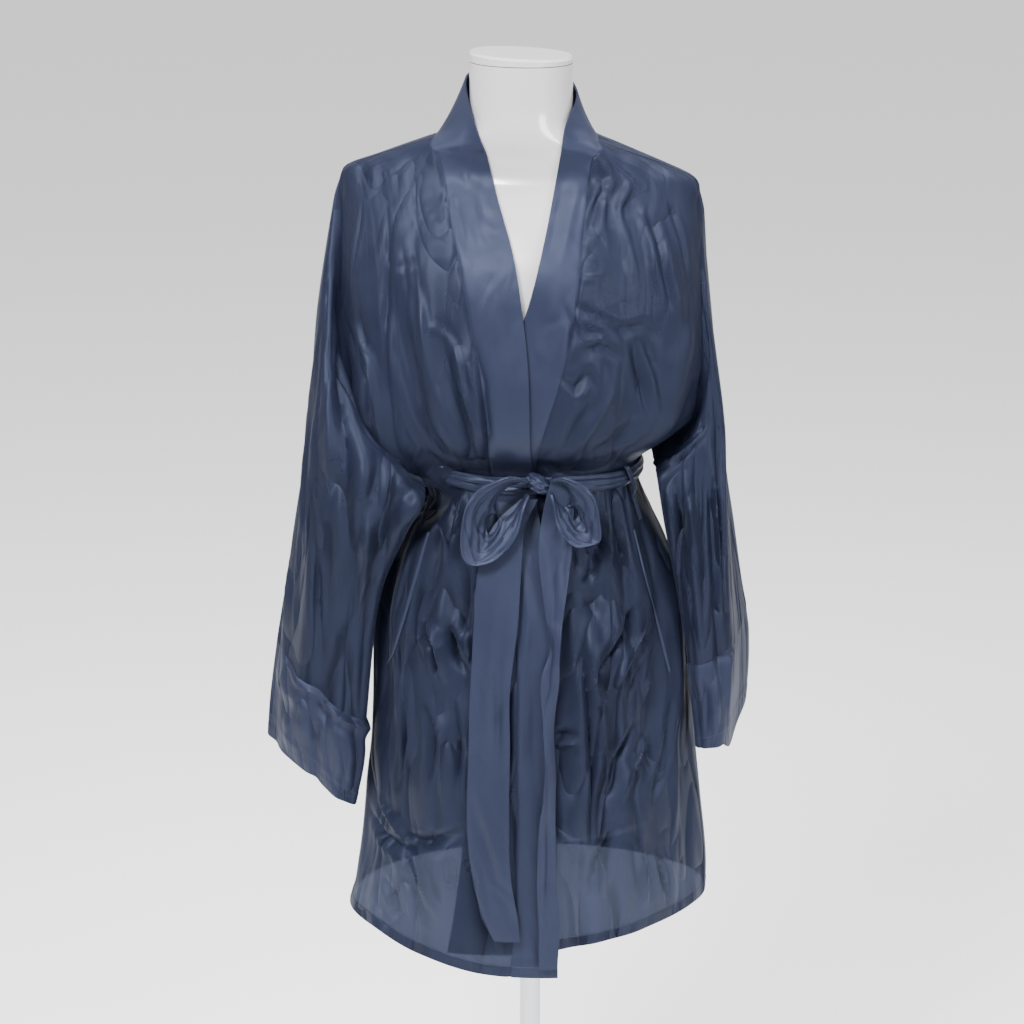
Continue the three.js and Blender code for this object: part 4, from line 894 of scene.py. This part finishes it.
# ---------------------------------------------------------------- neckbands
def collar_point(rows, along, share):
    """Across a collar the cloth leaves the chest and stands straight up to its free edge."""
    seam_b, seam_z, edge_b, edge_z = (along_rows(rows[key], along) for key in rows)
    lift, share = COLLAR_LIFT * smooth_step(0, 0.3, along), share[..., None]
    start = gown_point(seam_b, seam_z, lift)
    end = along_rows(gown_point(rows["edgeBearing"], rows["edgeZ"]), along)
    end[..., 1] -= COLLAR_FORWARD * smooth_step(0, 0.08, along) * smooth_step(0.3, 0.12, along)
    straight = start + (end - start) * share
    level = share[..., 0]
    lying = gown_point(seam_b + (edge_b - seam_b) * level, seam_z + (edge_z - seam_z) * level)
    lying = lying + (end - gown_point(edge_b, edge_z)) * share
    return lying + (straight - lying) * smooth_step(0, 0.35, along)[..., None]


def band_grid(side, band, collar, count):
    z = panel_heights(BAND_TOP_Z, FRONT_STEP)
    rows = collar_rows(side, band, collar)
    share = fine_shares(count, BAND_WIDTH)[:, None]
    seam = bearing_at(column(band, "seam", z), z) - side * degrees_across(SEAM_GAP, z)
    edge = bearing_at(column(band, "edge", z), z)
    bearing = seam + (edge - seam) * share
    dip = seam_dip(share * BAND_WIDTH)
    creased = 1 - 0.6 * smooth_step(0, 0.35, share)
    straight = lapped_point(side, bearing, np.broadcast_to(z, bearing.shape), creased, dip)
    along, across = np.broadcast_arrays(np.linspace(0, 1, COLLAR_STEPS)[1:], share)
    curved = collar_point(rows, along, across)
    grid = np.concatenate([straight, curved], 1)
    return grid[::-1] if side > 0 else grid


# ---------------------------------------------------------------- sleeves
def armhole_point(side, turn, sewn=0.0):
    """The sleeve's first ring, clear of the panels, or sewn on to their edges."""
    front = turn <= 0.5
    down = np.where(front, turn * 2, (1 - turn) * 2)
    z = CORNER_Z + (UNDERARM_Z - CORNER_Z) * (1 - np.cos(np.pi * down)) / 2
    front_edge = outer_bearing(z, "right" if side < 0 else "left")
    edge = np.where(front, front_edge, outer_bearing(z, "back"))
    away = degrees_across(SEAM_GAP + ARMHOLE_EASE * (1 - sewn), z) * np.where(front, 1, -1)
    outside = np.where(front, *ARMHOLE_OUT) + UNDERARM_OUT * smooth_step(0.3, 0.7, down)
    return gown_point(side * (edge + away), z, outside * (1 - sewn) - SEWN_DIP * sewn, sewn)


def ring_points(rows, turn):
    """Closed smooth curves through the outer, front, inner and back point of each row."""
    found = []
    for row in zip(*rows.values()):
        points = np.array(row).reshape(4, 3)
        place = turn * 4
        i = np.floor(place).astype(int)
        a, b, c, d = (points[(i + k) % 4] for k in (-1, 0, 1, 2))
        found.append(cubic(b, c, (c - a) / 2, (d - b) / 2, (place - i)[:, None]))
    return found


def tube_folds(turn, along, folds):
    lift = 0.0
    for at, wide, deep, start, end in zip(*folds.values()):
        profile = np.exp(-(((turn - at) / wide) ** 2) * FOLD_SHARPNESS)
        ending = 1 if end >= 1 else smooth_step(end, end - 0.25, along)
        lift = lift + deep * profile * smooth_step(start, start + 0.25, along) * ending
    return lift


def tube_grid(side, rings, folds, turn, along, creases, sizes):
    grid = np.moveaxis(along_rows(np.array(rings), along), 1, 0)
    outward = grid_normals(grid, True) * side
    u, v = turn[:, None], along[None, :]
    lift = tube_folds(u, v, folds)
    lift = lift + crease_lift(creases, u * sizes[0], v, 1, sizes[1])
    return grid + outward * lift[..., None]


def sleeve_grids(side, sleeve_rows, cuff_rows, cuff_folds, sleeve_creases, cuff_creases):
    turn = np.arange(SLEEVE_STEPS) / SLEEVE_STEPS
    rings = [armhole_point(side, turn), *ring_points(sleeve_rows, turn)]
    along = np.linspace(0, 1, SLEEVE_STEPS)
    sleeve = tube_grid(side, rings, SLEEVE_FOLDS, turn, along, sleeve_creases, SLEEVE_SIZE)
    hem = 1 - HEM_ROWS[::-1] / CUFF_SIZE[1]
    along = np.concatenate([np.linspace(0, 1 - HEM_ROWS_END / CUFF_SIZE[1], 26), hem])
    rings = ring_points(cuff_rows, turn)
    cuff = tube_grid(side, rings, cuff_folds, turn, along, cuff_creases, CUFF_SIZE)
    onward = cuff[:, 1] - cuff[:, 0]
    onward /= np.linalg.norm(onward, axis=1, keepdims=True)
    offset = sleeve[:, -1] + onward * SEAM_GAP - cuff[:, 0]
    cuff = cuff + offset[:, None] * (1 - smooth_step(0, 0.8, along))[None, :, None]
    seam = armhole_point(side, turn, 1.0)
    near = 1 - smooth_step(0, 0.07, np.linspace(0, 1, sleeve.shape[1]))
    sleeve = sleeve + (seam - sleeve[:, 0])[:, None] * near[None, :, None]
    return (sleeve, cuff) if side > 0 else (sleeve[::-1], cuff[::-1])


# ---------------------------------------------------------------- belt
def belt_grid():
    """The belt lies crushed to a cord, with wrinkles that wander round it."""
    bearing = np.arange(0, 360, 1.5)[:, None]
    drop = np.linspace(-0.5, 0.5, 15)[None, :]
    bulge = BELT_BULGE * np.cos(np.pi * drop) ** 0.7
    slow = np.radians(bearing)
    wrinkle = 0.9 * np.sin(17 * drop + 1.3 * np.sin(slow * 3) + 0.8 * np.sin(slow * 8 + 1))
    wrinkle = wrinkle + 0.5 * np.sin(29 * drop + 2 * np.sin(slow * 5 + 2))
    wave = 0.7 * np.sin(slow * 5)
    clear = CAD_HALF_WALL + BELT_WALL / 2 + BELT_CLEAR
    fading = np.cos(np.pi * drop) ** 0.5
    z = BELT_Z + drop * BELT_CORD + wave
    return gown_point(bearing, z, clear + bulge + wrinkle * fading)


def tail_grid(rows, creases):
    z = np.linspace(rows["z"][0], rows["z"][-1], 150)
    share = np.linspace(0, 1, 17)[:, None, None]
    clear = CAD_HALF_WALL + BELT_WALL / 2
    ends = [
        gown_point(bearing_at(column(rows, x, z), z), z, clear + column(rows, out, z))
        for x, out in (("leftX", "leftOut"), ("rightX", "rightOut"))
    ]
    grid = ends[0] + (ends[1] - ends[0]) * share
    grid[..., 1] -= 1.5 * np.sin(np.pi * share[..., 0])
    width = np.linalg.norm(ends[1] - ends[0], axis=1)
    lift = crease_lift(creases, share[..., 0], z[None, :], width[None, :], 1)
    return grid + grid_normals(grid, False) * lift[..., None]


def loop_grid(side, rows):
    """A loop of the bow: its rows give the middle line, and lean turns the cloth's width outwards."""
    steps = np.linspace(0, 1, 110)
    middle = np.array([rows[axis].mean() for axis in "xyz"])
    point = np.stack([along_rows(rows[axis], steps) for axis in "xyz"], -1)
    outward = (point - middle) * (1, 0, 1)
    outward /= np.linalg.norm(outward, axis=1, keepdims=True)
    lean, wide = along_rows(rows["lean"], steps), along_rows(rows["wide"], steps)
    width = outward * lean[:, None] - np.sqrt(1 - lean**2)[:, None] * (0, 1, 0)
    across = np.linspace(0.5, -0.5 - LOOP_INWARD, 27)[:, None, None]
    bulk = np.sin(np.pi * steps)[None, :] ** 0.6
    ripple = 1.7 * np.sin(across[..., 0] * 15 + 2.6 * np.sin(steps * 6)) * bulk
    ripple = ripple + 1.1 * np.sin(across[..., 0] * 27 + steps * 17)
    sway = 1.6 * np.sin(steps * 23 + across[..., 0] * 3) * bulk
    inward = np.where(across < -0.5, (across + 0.5) * bulk[..., None], 0)
    place = np.maximum(across, -0.5) + inward
    grid = point + width * place * wide[:, None] + outward * (ripple + sway)[..., None]
    return grid if side < 0 else grid[::-1]


def knot_rings():
    """The knot is a leaning, flattened ball with creases that wind round it."""
    latitude = np.radians(np.linspace(-86, 86, 40))[:, None]
    turn = (np.arange(64) * 2 * np.pi / 64)[None, :]
    crease = 1 + 0.10 * np.sin(2 * turn + 7 * latitude) + 0.07 * np.sin(5 * turn - 9 * latitude)
    crease = crease + 0.04 * np.sin(11 * turn + 6 * latitude)
    reach = np.cos(latitude) ** 0.7 * crease
    x, y = KNOT_HALF[0] * reach * np.cos(turn), KNOT_HALF[1] * reach * np.sin(turn)
    z = KNOT_HALF[2] * np.sin(latitude) - KNOT_LEAN * x
    return np.array(KNOT) + np.stack([x, y, z], -1)


def strip_grid(row, width, out, creased, steps=40):
    top_x, top_z, low_x, low_z = row
    along = np.linspace(0, 1, steps)
    z, x = low_z + (top_z - low_z) * along, low_x + (top_x - low_x) * along
    across = np.linspace(-0.5, 0.5, 5)[:, None]
    bearing = bearing_at(x, z) + degrees_across(1, z) * width * across
    return gown_point(bearing, z, out(z) + 0.8 * np.cos(np.pi * across), creased)


def carrier_out(z):
    """A carrier steps out over the belt."""
    return 4.6 + 5.2 * smooth_step(BELT_Z - 24, BELT_Z - 12, z)


def pocket_out(z):
    return 1.3 + 0 * z


# Upper x and z, lower x and z; width; wall; how far out of the cloth's mid-line; share of its creases.
STRIPS = [
    ("belt_carrier_right", (-88, 1076, -113, 1008), 6, 2.0, carrier_out, 0),
    ("belt_carrier_left", (92, 1076, 112, 1012), 6, 2.0, carrier_out, 0),
    ("pocket_edge_right", (-108, 1004, -154, 848), 4, 1.0, pocket_out, 1),
    ("pocket_edge_left", (108, 1004, 148, 848), 4, 1.0, pocket_out, 1),
]


# ---------------------------------------------------------------- meshes
def grid_normals(grid, closed):
    if closed:
        across = np.roll(grid, -1, 0) - np.roll(grid, 1, 0)
    else:
        across = np.concatenate([grid[1:], grid[-1:]]) - np.concatenate([grid[:1], grid[:-1]])
    along = np.concatenate([grid[:, 1:], grid[:, -1:]], 1) - np.concatenate(
        [grid[:, :1], grid[:, :-1]], 1
    )
    normal = np.cross(across, along)
    return normal / np.maximum(np.linalg.norm(normal, axis=2, keepdims=True), 1e-9)


def new_piece(node, name, points, faces, material, sharp, uv=None):
    """A mesh in place of a node; edges bent by more than sharp degrees stay crisp."""
    mesh = bpy.data.meshes.new(name)
    mesh.from_pydata((points.reshape(-1, 3) * MM).tolist(), [], faces)
    mesh.shade_smooth()
    mesh.set_sharp_from_angle(angle=math.radians(sharp))
    if uv is not None:
        layer = mesh.uv_layers.new(name="cut")
        corners = np.zeros(len(mesh.loops), int)
        mesh.loops.foreach_get("vertex_index", corners)
        layer.data.foreach_set("uv", (uv[corners] * MM).ravel())
    mesh.validate()
    mesh.materials.append(material)
    piece = bpy.data.objects.new(name, mesh)
    bpy.context.scene.collection.objects.link(piece)
    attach(piece, "root")
    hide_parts(node)
    return piece


def wall_thickness(lengths, wall, hem):
    """Wall of a shell, which is thicker in a hem turned up at the low or the high end."""
    from_end = {"": np.inf, "low": lengths, "high": lengths[:, -1:] - lengths}[hem]
    return np.where(from_end < HEM_DEPTH, HEM_CLOTH, wall) + 0 * lengths


def shell(node, grid, wall, material, closed=False, hem=""):
    """A cloth wall on both sides of a grid of mid-line points, with the cut's own sizes as UVs."""
    columns, rows = grid.shape[:2]
    steps = np.linalg.norm(np.diff(grid, axis=1), axis=2)
    lengths = np.concatenate([np.zeros((columns, 1)), np.cumsum(steps, 1)], 1)
    widths = np.linalg.norm(np.diff(grid, axis=0), axis=2).mean(1)
    across = np.concatenate([[0], np.cumsum(widths)])[:, None] + 0 * lengths
    half = grid_normals(grid, closed) * (wall_thickness(lengths, wall, hem) / 2)[..., None]
    points = np.concatenate([(grid + half).reshape(-1, 3), (grid - half).reshape(-1, 3)])
    uv = np.tile(np.stack([across, lengths], -1).reshape(-1, 2), (2, 1))
    spans = columns if closed else columns - 1
    i, j = np.meshgrid(np.arange(spans), np.arange(rows - 1), indexing="ij")
    a, b = (i * rows + j).ravel(), (((i + 1) % columns) * rows + j).ravel()
    inner = columns * rows
    faces = [np.stack([a, b, b + 1, a + 1], 1), inner + np.stack([a, a + 1, b + 1, b], 1)]
    for row, step in ((0, 1), (rows - 1, -1)):
        k = np.arange(spans)
        c, d = k * rows + row, (k + 1) % columns * rows + row
        faces.append(np.stack([c, inner + c, inner + d, d], 1)[:, ::step])
    for first, step in () if closed else ((0, 1), ((columns - 1) * rows, -1)):
        c = first + np.arange(rows - 1)
        faces.append(np.stack([c, c + 1, inner + c + 1, inner + c], 1)[:, ::step])
    faces = np.concatenate(faces).tolist()
    return new_piece(node, f"{node}_cloth", points, faces, material, 55, uv)


def ringed(node, name, rings, material):
    """A closed body of stacked rings, from the lowest up."""
    count, around = rings.shape[:2]
    j, i = np.meshgrid(np.arange(count - 1), np.arange(around), indexing="ij")
    a, b = (j * around + i).ravel(), (j * around + (i + 1) % around).ravel()
    faces = np.stack([a, b, b + around, a + around], 1).tolist()
    faces.append(list(range(around))[::-1])
    faces.append(list(range((count - 1) * around, count * around)))
    return new_piece(node, name, rings, faces, material, 40)


# ---------------------------------------------------------------- materials
class Graph:
    """A material's nodes, with a short way to add and join them.

    add takes a socket by its name, or by its index as i0, i1 and so on.
    """

    def __init__(self, name):
        self.material = bpy.data.materials.new(name)
        self.material.use_nodes = True
        self.tree = self.material.node_tree
        self.tree.nodes.clear()

    def add(self, kind, settings=None, **sockets):
        node = self.tree.nodes.new(kind)
        for key, value in (settings or {}).items():
            setattr(node, key, value)
        for key, value in sockets.items():
            by_index = key[0] == "i" and key[1:].isdigit()
            self.put(node.inputs[int(key[1:]) if by_index else key.replace("_", " ")], value)
        return node

    def put(self, socket, value):
        if isinstance(value, bpy.types.NodeSocket):
            self.tree.links.new(value, socket)
        else:
            socket.default_value = value

    def math(self, operation, a, b=0.0):
        return self.add("ShaderNodeMath", {"operation": operation}, i0=a, i1=b).outputs[0]

    def distance(self, a, b):
        return self.math("ABSOLUTE", self.math("SUBTRACT", a, b))

    def ramp(self, value, low, high, start=0.0, end=1.0):
        settings = {"interpolation_type": "SMOOTHSTEP"}
        node = self.add("ShaderNodeMapRange", settings, i0=value, i1=low, i2=high, i3=start, i4=end)
        return node.outputs[0]

    def noise(self, vector, scale, detail, roughness, distortion=0.0):
        node = self.add(
            "ShaderNodeTexNoise",
            None,
            Vector=vector,
            Scale=scale,
            Detail=detail,
            Roughness=roughness,
            Distortion=distortion,
        )
        return node.outputs[0]

    def groove(self, vector, distortion):
        """Broad swells that meet in sharp winding valleys."""
        swell = self.noise(vector, 1.0, 1.0, 0.4, distortion)
        return self.math("POWER", self.distance(swell, 0.5), 0.75)

    def stretch(self, vector, scale, turn=(0, 0, 0)):
        node = self.add("ShaderNodeMapping", None, Vector=vector, Scale=scale, Rotation=turn)
        return node.outputs[0]

    def mix(self, share, a, b):
        node = self.add("ShaderNodeMix", {"data_type": "RGBA"})
        for index, value in ((0, share), (6, a), (7, b)):
            self.put(node.inputs[index], value)
        return node.outputs[2]

    def bump(self, height, distance, strength=1.0, normal=None):
        node = self.add("ShaderNodeBump", None, Height=height, Distance=distance, Strength=strength)
        if normal is not None:
            self.tree.links.new(normal, node.inputs["Normal"])
        return node.outputs[0]

    def finish(self, shader):
        output = self.add("ShaderNodeOutputMaterial")
        self.tree.links.new(shader, output.inputs["Surface"])
        return self.material


SATIN = (0.0088, 0.0108, 0.0235, 1)
SATIN_WORN = (0.0140, 0.0168, 0.0340, 1)
SATIN_LIT_THROUGH = (0.085, 0.105, 0.165, 1)
THREAD = (0.032, 0.041, 0.075, 1)
OPEN_SHARE = 0.53  # how much of a thin satin is open between its threads
STITCHES = 333.0  # to a metre
# Depths of the bumps in metres
CRINKLE, CRUMPLE, LONG_FOLD, CROSS_FOLD = 0.0062, 0.0030, 0.040, 0.024
PUCKER, STITCH_GROOVE, STITCH = 0.0024, 0.0011, 0.0003


def stitch_line(graph, across, along, place):
    """A sewn line, and the dashes of thread on it, at a distance in metres."""
    line = graph.ramp(graph.distance(across, place), 0.0002, 0.00055, 1.0, 0.0)
    phase = graph.math("FRACT", graph.math("MULTIPLY", along, STITCHES))
    dash = graph.ramp(graph.distance(phase, 0.5), 0.3, 0.42, 1.0, 0.0)
    return line, graph.math("MULTIPLY", line, dash)


def satin(name, hem_from=None, thin=0.33, crumple=1.0, folded=1.0, flat_cut=True):
    """Washed satin: soft crinkles, small crumples, long folds and a stitched hem.

    hem_from is the length in metres from which the hem is measured. thin is how much light comes
    through, crumple and folded are the share of the small and the long unevenness, and flat_cut
    says that the piece has its cut's sizes as UVs.
    """
    g = Graph(name)
    space = g.add("ShaderNodeTexCoord")
    place = space.outputs["Object"]
    cut = space.outputs["UV"] if flat_cut else place
    across, along = g.add("ShaderNodeSeparateXYZ", None, Vector=cut).outputs[:2]
    height = g.add("ShaderNodeSeparateXYZ", None, Vector=place).outputs[2]

    crinkle = g.noise(g.stretch(place, (26, 26, 8), (0, 0.12, 0)), 1.0, 2.0, 0.45, 0.7)
    crumples = g.noise(g.stretch(place, (24, 24, 17)), 1.0, 1.5, 0.45, 0.9)
    long_folds = g.groove(g.stretch(place, (13, 13, 3.2), (0, 0.42, 0)), 0.6)
    cross_folds = g.groove(g.stretch(place, (17, 17, 6.0), (0, -0.75, 0.3)), 0.7)
    below_belt = g.ramp(height, 1.03, 1.12, 1.0, 0.22)  # the skirt is the most creased
    long_folds = g.math("MULTIPLY", long_folds, below_belt)
    cross_folds = g.math("MULTIPLY", cross_folds, below_belt)
    normal = g.bump(crinkle, CRINKLE * crumple, 0.8)
    normal = g.bump(crumples, CRUMPLE * crumple, 0.75, normal)
    normal = g.bump(long_folds, LONG_FOLD * folded, 1.0, normal)
    normal = g.bump(cross_folds, CROSS_FOLD * folded, 1.0, normal)

    worn = g.noise(place, 7.0, 3.0, 0.6, 0.4)
    base = g.mix(g.math("MULTIPLY", g.ramp(worn, 0.3, 0.7), 0.6), SATIN, SATIN_WORN)
    open_share = OPEN_SHARE * thin
    if hem_from is not None:
        distance, depth = g.distance(along, hem_from), HEM_DEPTH * MM
        line, dashes = stitch_line(g, distance, across, depth)
        pucker = g.noise(g.stretch(cut, (150, 8, 1)), 1.0, 2.0, 0.6, 0.3)
        near = g.ramp(distance, depth + 0.001, depth + 0.012, 1.0, 0.0)
        normal = g.bump(g.math("MULTIPLY", pucker, near), PUCKER, 0.9, normal)
        normal = g.bump(g.math("SUBTRACT", 1.0, line), STITCH_GROOVE, 0.9, normal)
        normal = g.bump(dashes, STITCH, 0.9, normal)
        base = g.mix(g.math("MULTIPLY", dashes, 0.7), base, THREAD)
        turned_up = g.ramp(distance, depth - 0.0006, depth + 0.0006, 0.25, 1.0)
        open_share = g.math("MULTIPLY", open_share, turned_up)

    way = {"direction_type": "UV_MAP", "uv_map": "cut"} if flat_cut else {"direction_type": "RADIAL"}
    cloth = g.add(
        "ShaderNodeBsdfPrincipled",
        None,
        Base_Color=base,
        Roughness=g.ramp(worn, 0.25, 0.75, 0.46, 0.56),
        Specular_IOR_Level=0.24,
        Specular_Tint=(0.62, 0.72, 1.0, 1),
        Anisotropic=0.45,
        Tangent=g.add("ShaderNodeTangent", way).outputs[0],
        Normal=normal,
        Sheen_Weight=0.03,
        Sheen_Roughness=0.35,
        Sheen_Tint=(0.55, 0.66, 0.95, 1),
    )
    through = g.add("ShaderNodeBsdfTranslucent", None, Color=SATIN_LIT_THROUGH, Normal=normal)
    clear = g.add("ShaderNodeBsdfTransparent", None, Color=(0.75, 0.80, 0.95, 1))
    lit = g.add("ShaderNodeMixShader", None, i0=thin, i1=cloth.outputs[0], i2=through.outputs[0])
    full = g.add("ShaderNodeMixShader", None, i0=open_share, i1=lit.outputs[0], i2=clear.outputs[0])
    return g.finish(full.outputs[0])


PLASTIC = (0.36, 0.348, 0.366, 1)
PLASTIC_DUSTY = (0.33, 0.318, 0.337, 1)


def gloss_plastic():
    g = Graph("form_gloss_plastic")
    place = g.add("ShaderNodeTexCoord").outputs["Object"]
    peel = g.noise(place, 90.0, 2.0, 0.5)
    dust = g.ramp(g.noise(place, 14.0, 4.0, 0.6), 0.4, 0.75)
    colour = g.mix(g.math("MULTIPLY", dust, 0.5), PLASTIC, PLASTIC_DUSTY)
    shader = g.add(
        "ShaderNodeBsdfPrincipled",
        None,
        Base_Color=colour,
        Roughness=g.ramp(dust, 0.0, 1.0, 0.17, 0.24),
        Coat_Weight=0.5,
        Coat_Roughness=0.06,
        Subsurface_Weight=0.08,
        Subsurface_Radius=(0.01, 0.008, 0.007),
        Normal=g.bump(peel, 0.0002, 0.25),
    )
    return g.finish(shader.outputs[0])


def metal(name, colour, rough, brushed):
    g = Graph(name)
    place = g.add("ShaderNodeTexCoord").outputs["Object"]
    scratch = g.noise(g.stretch(place, brushed), 1.0, 3.0, 0.6)
    shader = g.add(
        "ShaderNodeBsdfPrincipled",
        None,
        Base_Color=(*colour, 1),
        Metallic=1.0,
        Roughness=g.ramp(scratch, 0.3, 0.7, rough, rough + 0.14),
        Normal=g.bump(scratch, 0.00012, 0.4),
    )
    return g.finish(shader.outputs[0])


def floor_material():
    g = Graph("pale_floor")
    place = g.add("ShaderNodeTexCoord").outputs["Object"]
    speck = g.noise(place, 3.0, 3.0, 0.5)
    colour = g.mix(speck, (0.95, 0.95, 0.95, 1), (0.97, 0.97, 0.97, 1))
    shader = g.add("ShaderNodeBsdfPrincipled", None, Base_Color=colour, Roughness=0.75)
    return g.finish(shader.outputs[0])


# ---------------------------------------------------------------- the object
panel_satin = satin("satin_panel", hem_from=0.0)
band_satin = satin("satin_band", hem_from=0.0, crumple=0.6, folded=0.12, thin=0.10)
sleeve_satin = satin("satin_sleeve", crumple=0.8)
cuff_satin = satin("satin_cuff", hem_from=0.1, crumple=0.7, folded=0.5, thin=0.14)
belt_satin = satin("satin_belt", crumple=0.5, folded=0.15, thin=0.05)
knot_satin = satin("satin_knot", crumple=0.5, folded=0.1, thin=0.0, flat_cut=False)
plastic = gloss_plastic()
steel = metal("pole_brushed_steel", (0.48, 0.49, 0.51), 0.26, (900, 900, 30))
foot_metal = metal("foot_painted_metal", (0.42, 0.43, 0.45), 0.38, (260, 260, 260))

FRONTS = {"right": (-1, OVER_BAND, OVER_COLLAR), "left": (1, UNDER_BAND, UNDER_COLLAR)}
SLEEVES = {
    "right": (-1, RIGHT_SLEEVE, RIGHT_CUFF, RIGHT_CUFF_FOLDS, RIGHT_SLEEVE_CREASES, RIGHT_CUFF_CREASES),
    "left": (1, LEFT_SLEEVE, LEFT_CUFF, LEFT_CUFF_FOLDS, LEFT_SLEEVE_CREASES, LEFT_CUFF_CREASES),
}
TAILS = {"right": (RIGHT_TAIL, RIGHT_TAIL_CREASES), "left": (LEFT_TAIL, LEFT_TAIL_CREASES)}
LOOPS = {"right": (-1, RIGHT_LOOP), "left": (1, LEFT_LOOP)}


def sew(node, *how):
    shell(node, *how)


sew("back", back_grid(84), CLOTH, panel_satin, False, "low")
for label, edges in FRONTS.items():
    sew(f"front_{label}", front_grid(*edges, 96), CLOTH, panel_satin, False, "low")
for label, edges in FRONTS.items():
    sew(f"neckband_{label}", band_grid(*edges, 18), BAND_CLOTH, band_satin)
for label, tables in SLEEVES.items():
    sleeve, cuff = sleeve_grids(*tables)
    sew(f"sleeve_{label}", sleeve, CLOTH, sleeve_satin, True)
    sew(f"cuff_{label}", cuff, CLOTH, cuff_satin, True, "high")
sew("belt_waist", belt_grid(), BELT_WALL, belt_satin, True)
for label, tables in TAILS.items():
    sew(f"belt_tail_{label}", tail_grid(*tables), BELT_WALL, belt_satin)
for label, tables in LOOPS.items():
    sew(f"bow_loop_{label}", loop_grid(*tables), BELT_WALL, belt_satin)
ringed("belt_knot", "belt_knot_cloth", knot_rings(), knot_satin)
for node, row, width, wall, out, creased in STRIPS:
    sew(node, strip_grid(row, width, out, creased), wall, belt_satin)

turns = np.arange(0, 360, 2.5)[None, :]
heights = np.concatenate([np.linspace(655, 662, 5), np.linspace(667, 1490.6, 150)])[:, None]
ringed("form_torso", "form_torso_shell", form_point(turns, heights), plastic)
for name, material in (
    ("form_neck_cap", plastic),
    ("pole", steel),
    ("pole_collar", steel),
    ("foot", foot_metal),
):
    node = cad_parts[name]
    node.data.materials.clear()
    node.data.materials.append(material)

# ---------------------------------------------------------------- floor, light, camera
bpy.ops.mesh.primitive_plane_add(size=90, location=(0, 20, 0))
floor = bpy.context.object
floor.name = "pale_floor"
floor.data.materials.append(floor_material())

world = bpy.data.worlds.new("studio")
world.use_nodes = True
background = world.node_tree.nodes["Background"]
background.inputs["Color"].default_value = (1.0, 1.0, 1.0, 1)
background.inputs["Strength"].default_value = 1.1
bpy.context.scene.world = world


def softbox(name, place, target, width, height, power):
    light = bpy.data.lights.new(name, "AREA")
    light.shape = "RECTANGLE"
    light.size, light.size_y = width, height
    light.energy = power
    lamp = bpy.data.objects.new(name, light)
    lamp.location = place
    aim = np.array(target) - np.array(place)
    lamp.rotation_mode = "QUATERNION"
    lamp.rotation_quaternion = mathutils.Vector(aim).to_track_quat("-Z", "Y")
    bpy.context.scene.collection.objects.link(lamp)


softbox("key", (-1.2, -2.3, 3.2), (0, 0, 0.95), 0.9, 0.9, 290)
softbox("fill", (1.9, -2.2, 1.9), (0, 0, 1.0), 0.9, 1.4, 90)
softbox("top", (0.1, -0.2, 3.6), (0, 0, 1.2), 1.5, 1.1, 190)

camera = bpy.data.objects.new("camera", bpy.data.cameras.new("camera"))
camera.data.sensor_width = 36
camera.data.lens = 97.9
camera.data.clip_start = 0.05
camera.data.clip_end = 200
camera.location = (-0.0206, -2.9, 1.86)
camera.rotation_euler = (math.radians(90 - 16.45), 0, 0)
bpy.context.scene.collection.objects.link(camera)
bpy.context.scene.camera = camera
